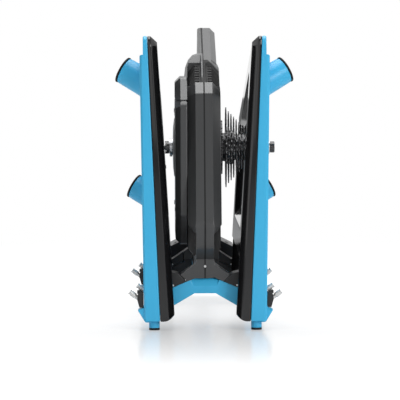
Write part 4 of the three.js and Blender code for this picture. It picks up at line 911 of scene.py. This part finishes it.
turn_each = sum_of("DIVIDE", sum_of("MULTIPLY", index, 2 * math.pi), given["Windows"])
turned_by = step(sprocket_tree, "ShaderNodeCombineXYZ", Z=turn_each)[0]
window_ring = step(
    sprocket_tree, "GeometryNodeInstanceOnPoints", Points=around[0], Instance=window_soft[0],
    Rotation=turned_by,
)
window_lines = step(sprocket_tree, "GeometryNodeRealizeInstances", Geometry=window_ring[0])
outline = sprocket_tree.nodes.new("GeometryNodeJoinGeometry")
for line in (window_lines[0], bore_line[0], tooth_line[0]):
    sprocket_tree.links.new(line, outline.inputs[0])
plate = step(sprocket_tree, "GeometryNodeFillCurve", Curve=outline.outputs[0])
raised = step(
    sprocket_tree, "GeometryNodeExtrudeMesh", Mesh=plate[0], Offset_Scale=given["Thickness"],
    Individual=False,
)
base_plate = step(sprocket_tree, "GeometryNodeFlipFaces", Mesh=plate[0])
solid = sprocket_tree.nodes.new("GeometryNodeJoinGeometry")
for part in (base_plate[0], raised["Mesh"]):
    sprocket_tree.links.new(part, solid.inputs[0])
welded = step(
    sprocket_tree, "GeometryNodeMergeByDistance", Geometry=solid.outputs[0], Distance=0.000001
)
set_down(sprocket_tree, welded[0], given, made)

tooth_counts = [28, 25, 23, 21, 19, 17, 15, 14, 13, 12, 11]
sprocket_pitch, sprocket_first_x, sprocket_thickness = 0.00385, 0.033, 0.0014
large_sprockets, window_count, collar_bore, collar_gap = 3, 5, 0.0176, 0.00005


def joined(shapes):
    """All of the shapes as one."""
    whole = shapes[0]
    for shape in shapes[1:]:
        scratch = bpy.data.meshes.new("scratch")
        shape.to_mesh(scratch)
        shape.free()
        whole.from_mesh(scratch)
    return whole


def sprocket_piece(node, indices, collar_radius):
    """One sprocket, or the sprockets of one carrier, each with the collar on its outer side."""
    shapes = []
    for place in indices:
        middle = sprocket_first_x + sprocket_pitch * place
        spot = (Vector((middle - sprocket_thickness / 2, hub_line.y, hub_line.z)), Vector((1, 0, 0)))
        disc = grown(sprocket_tree, [spot], {
            "Teeth": tooth_counts[place], "Thickness": sprocket_thickness,
            "Windows": window_count if place < large_sprockets else 0, "Finish": black_steel,
        })
        bmesh.ops.dissolve_limit(disc, angle_limit=flat_limit, verts=disc.verts, edges=disc.edges)
        roll_edges(disc, roll=0.00022, segments=1, sharp=60)
        shapes.append(disc)
        if place + 1 < len(tooth_counts):
            reach = sprocket_pitch - sprocket_thickness - 2 * collar_gap
            profile = [
                (0, collar_bore), (0, collar_radius), (reach, collar_radius), (reach, collar_bore),
            ]
            origin = (middle + sprocket_thickness / 2 + collar_gap, hub_line.y, hub_line.z)
            shapes.append(turned(profile, origin, (1, 0, 0), steps=64))
    piece = put_piece(node + "_finish", joined(shapes), black_steel, "freehub")
    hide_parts(node)


sprocket_piece("sprocket_cluster_large", (0, 1, 2), collar_radius=0.025)
sprocket_piece("sprocket_cluster_middle", (3, 4, 5), collar_radius=0.0192)
for place in range(6, len(tooth_counts)):
    sprocket_piece(f"sprocket_{tooth_counts[place]}t", (place,), collar_radius=0.0192)

# The lockring: a thin blackened steel ring with notches for its tool. It is screwed into the end
# of the freehub and holds the sprockets on it.
dressed("lockring", black_steel, roll=0.0003)

# The folding wings: cast frames in the base's blue, each with a glossy black moulded cover that
# follows it round on its inner side, held by small black screws.
wing_gloss = finish(
    "gloss_black_cover", (0.002, 0.002, 0.0024), (0.0035, 0.0035, 0.004), (0.03, 0.03, 0.032),
    roughness=(0.04, 0.08), grain=1200, depth=0.000002,
)
cover_screw_y, cover_screw_z = (-0.235, 0.180), (0.10, 0.215, 0.34)
for side, sign in (("left", -1), ("right", 1)):
    dressed(f"{side}_wing_frame", paint, roll=0.0018)
    cover = dressed(f"{side}_wing_cover", wing_gloss, roll=0.0014)
    shots = [((0, y, z), (sign, 0, 0)) for y in cover_screw_y for z in cover_screw_z]
    grow(f"{side}_cover_screws", screw_tree, landed(cover, shots), {
        "Head Radius": 0.0030, "Head Height": 0.0006, "Recess Radius": 0.0015, "Recess Depth": 0.0008,
        "Finish": black_steel,
    }, f"{side}_wing")

# The feet: each wing has two black rubber pads on its stubs for use, with two grooves moulded round
# their tread, and two rubber tips pressed into its posts, which the folded trainer stands on.
ring_steps = ((0.002, 0), (0.0003, -0.0008), (0.0012, 0), (0.0003, 0.0008)) * 2
large_share = 0.3
for side in ("left", "right"):
    for end in ("rear", "front"):
        pad = merged_copy(f"{side}_foot_pad_{end}")
        roll_edges(pad, roll=0.0005)
        largest = max(face.calc_area() for face in pad.faces)
        large = [face for face in pad.faces if face.calc_area() > large_share * largest]
        tread = max(large, key=lambda face: face.normal.z)
        for width, rise in ring_steps:
            bmesh.ops.inset_region(pad, faces=[tread], thickness=width, depth=rise)
        piece = put_piece(f"{side}_foot_pad_{end}_finish", pad, rubber, f"{side}_wing")
        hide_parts(f"{side}_foot_pad_{end}")
        dressed(f"{side}_stand_tip_{end}", rubber, roll=0.0005)

# The wing locks: at each bracket a satin black block with a sprung pin plated in satin nickel,
# and above it a plated latch bolt that leans outwards over a small black tab.
bolt_x, bolt_z, bolt_slope = 0.0884, 0.058, math.radians(35)
bolt_length, bolt_core = 0.0115, 0.0001
bolt_radius, neck_radius, end_radius = 0.0039, 0.003198, 0.003276
head_end, neck_start, neck_end, rim_start, end_ease = 0.0073, 0.0077, 0.0091, 0.0095, 0.0108
bolt_profile = [
    (0, bolt_core), (0, bolt_radius), (head_end, bolt_radius), (neck_start, neck_radius),
    (neck_end, neck_radius), (rim_start, bolt_radius), (end_ease, bolt_radius),
    (bolt_length, end_radius), (bolt_length, bolt_core),
]
tab_x, tab_z, tab_size = 0.0945, 0.0550, (0.007, 0.016, 0.0045)
for side, sign in (("left", -1), ("right", 1)):
    for end in ("rear", "front"):
        dressed(f"{side}_lock_block_{end}", cover_plastic, roll=0.0008)
        dressed(f"{side}_lock_pin_{end}", nickel, roll=0.0003)
        middle_y = middle_of(f"{side}_lock_block_{end}")[1]
        leaning = (sign * math.cos(bolt_slope), 0, math.sin(bolt_slope))
        bolt = turned(bolt_profile, (sign * bolt_x, middle_y, bolt_z), leaning, steps=32)
        put_piece(f"{side}_latch_bolt_{end}", bolt, nickel, f"{side}_wing")
        tab = bmesh.new()
        tab_place = Matrix.Translation(Vector((sign * tab_x, middle_y, tab_z)))
        bmesh.ops.create_cube(tab, size=1, matrix=tab_place @ Matrix.Diagonal((*tab_size, 1)))
        roll_edges(tab, roll=0.0006)
        put_piece(f"{side}_latch_tab_{end}", tab, cover_plastic, f"{side}_wing")
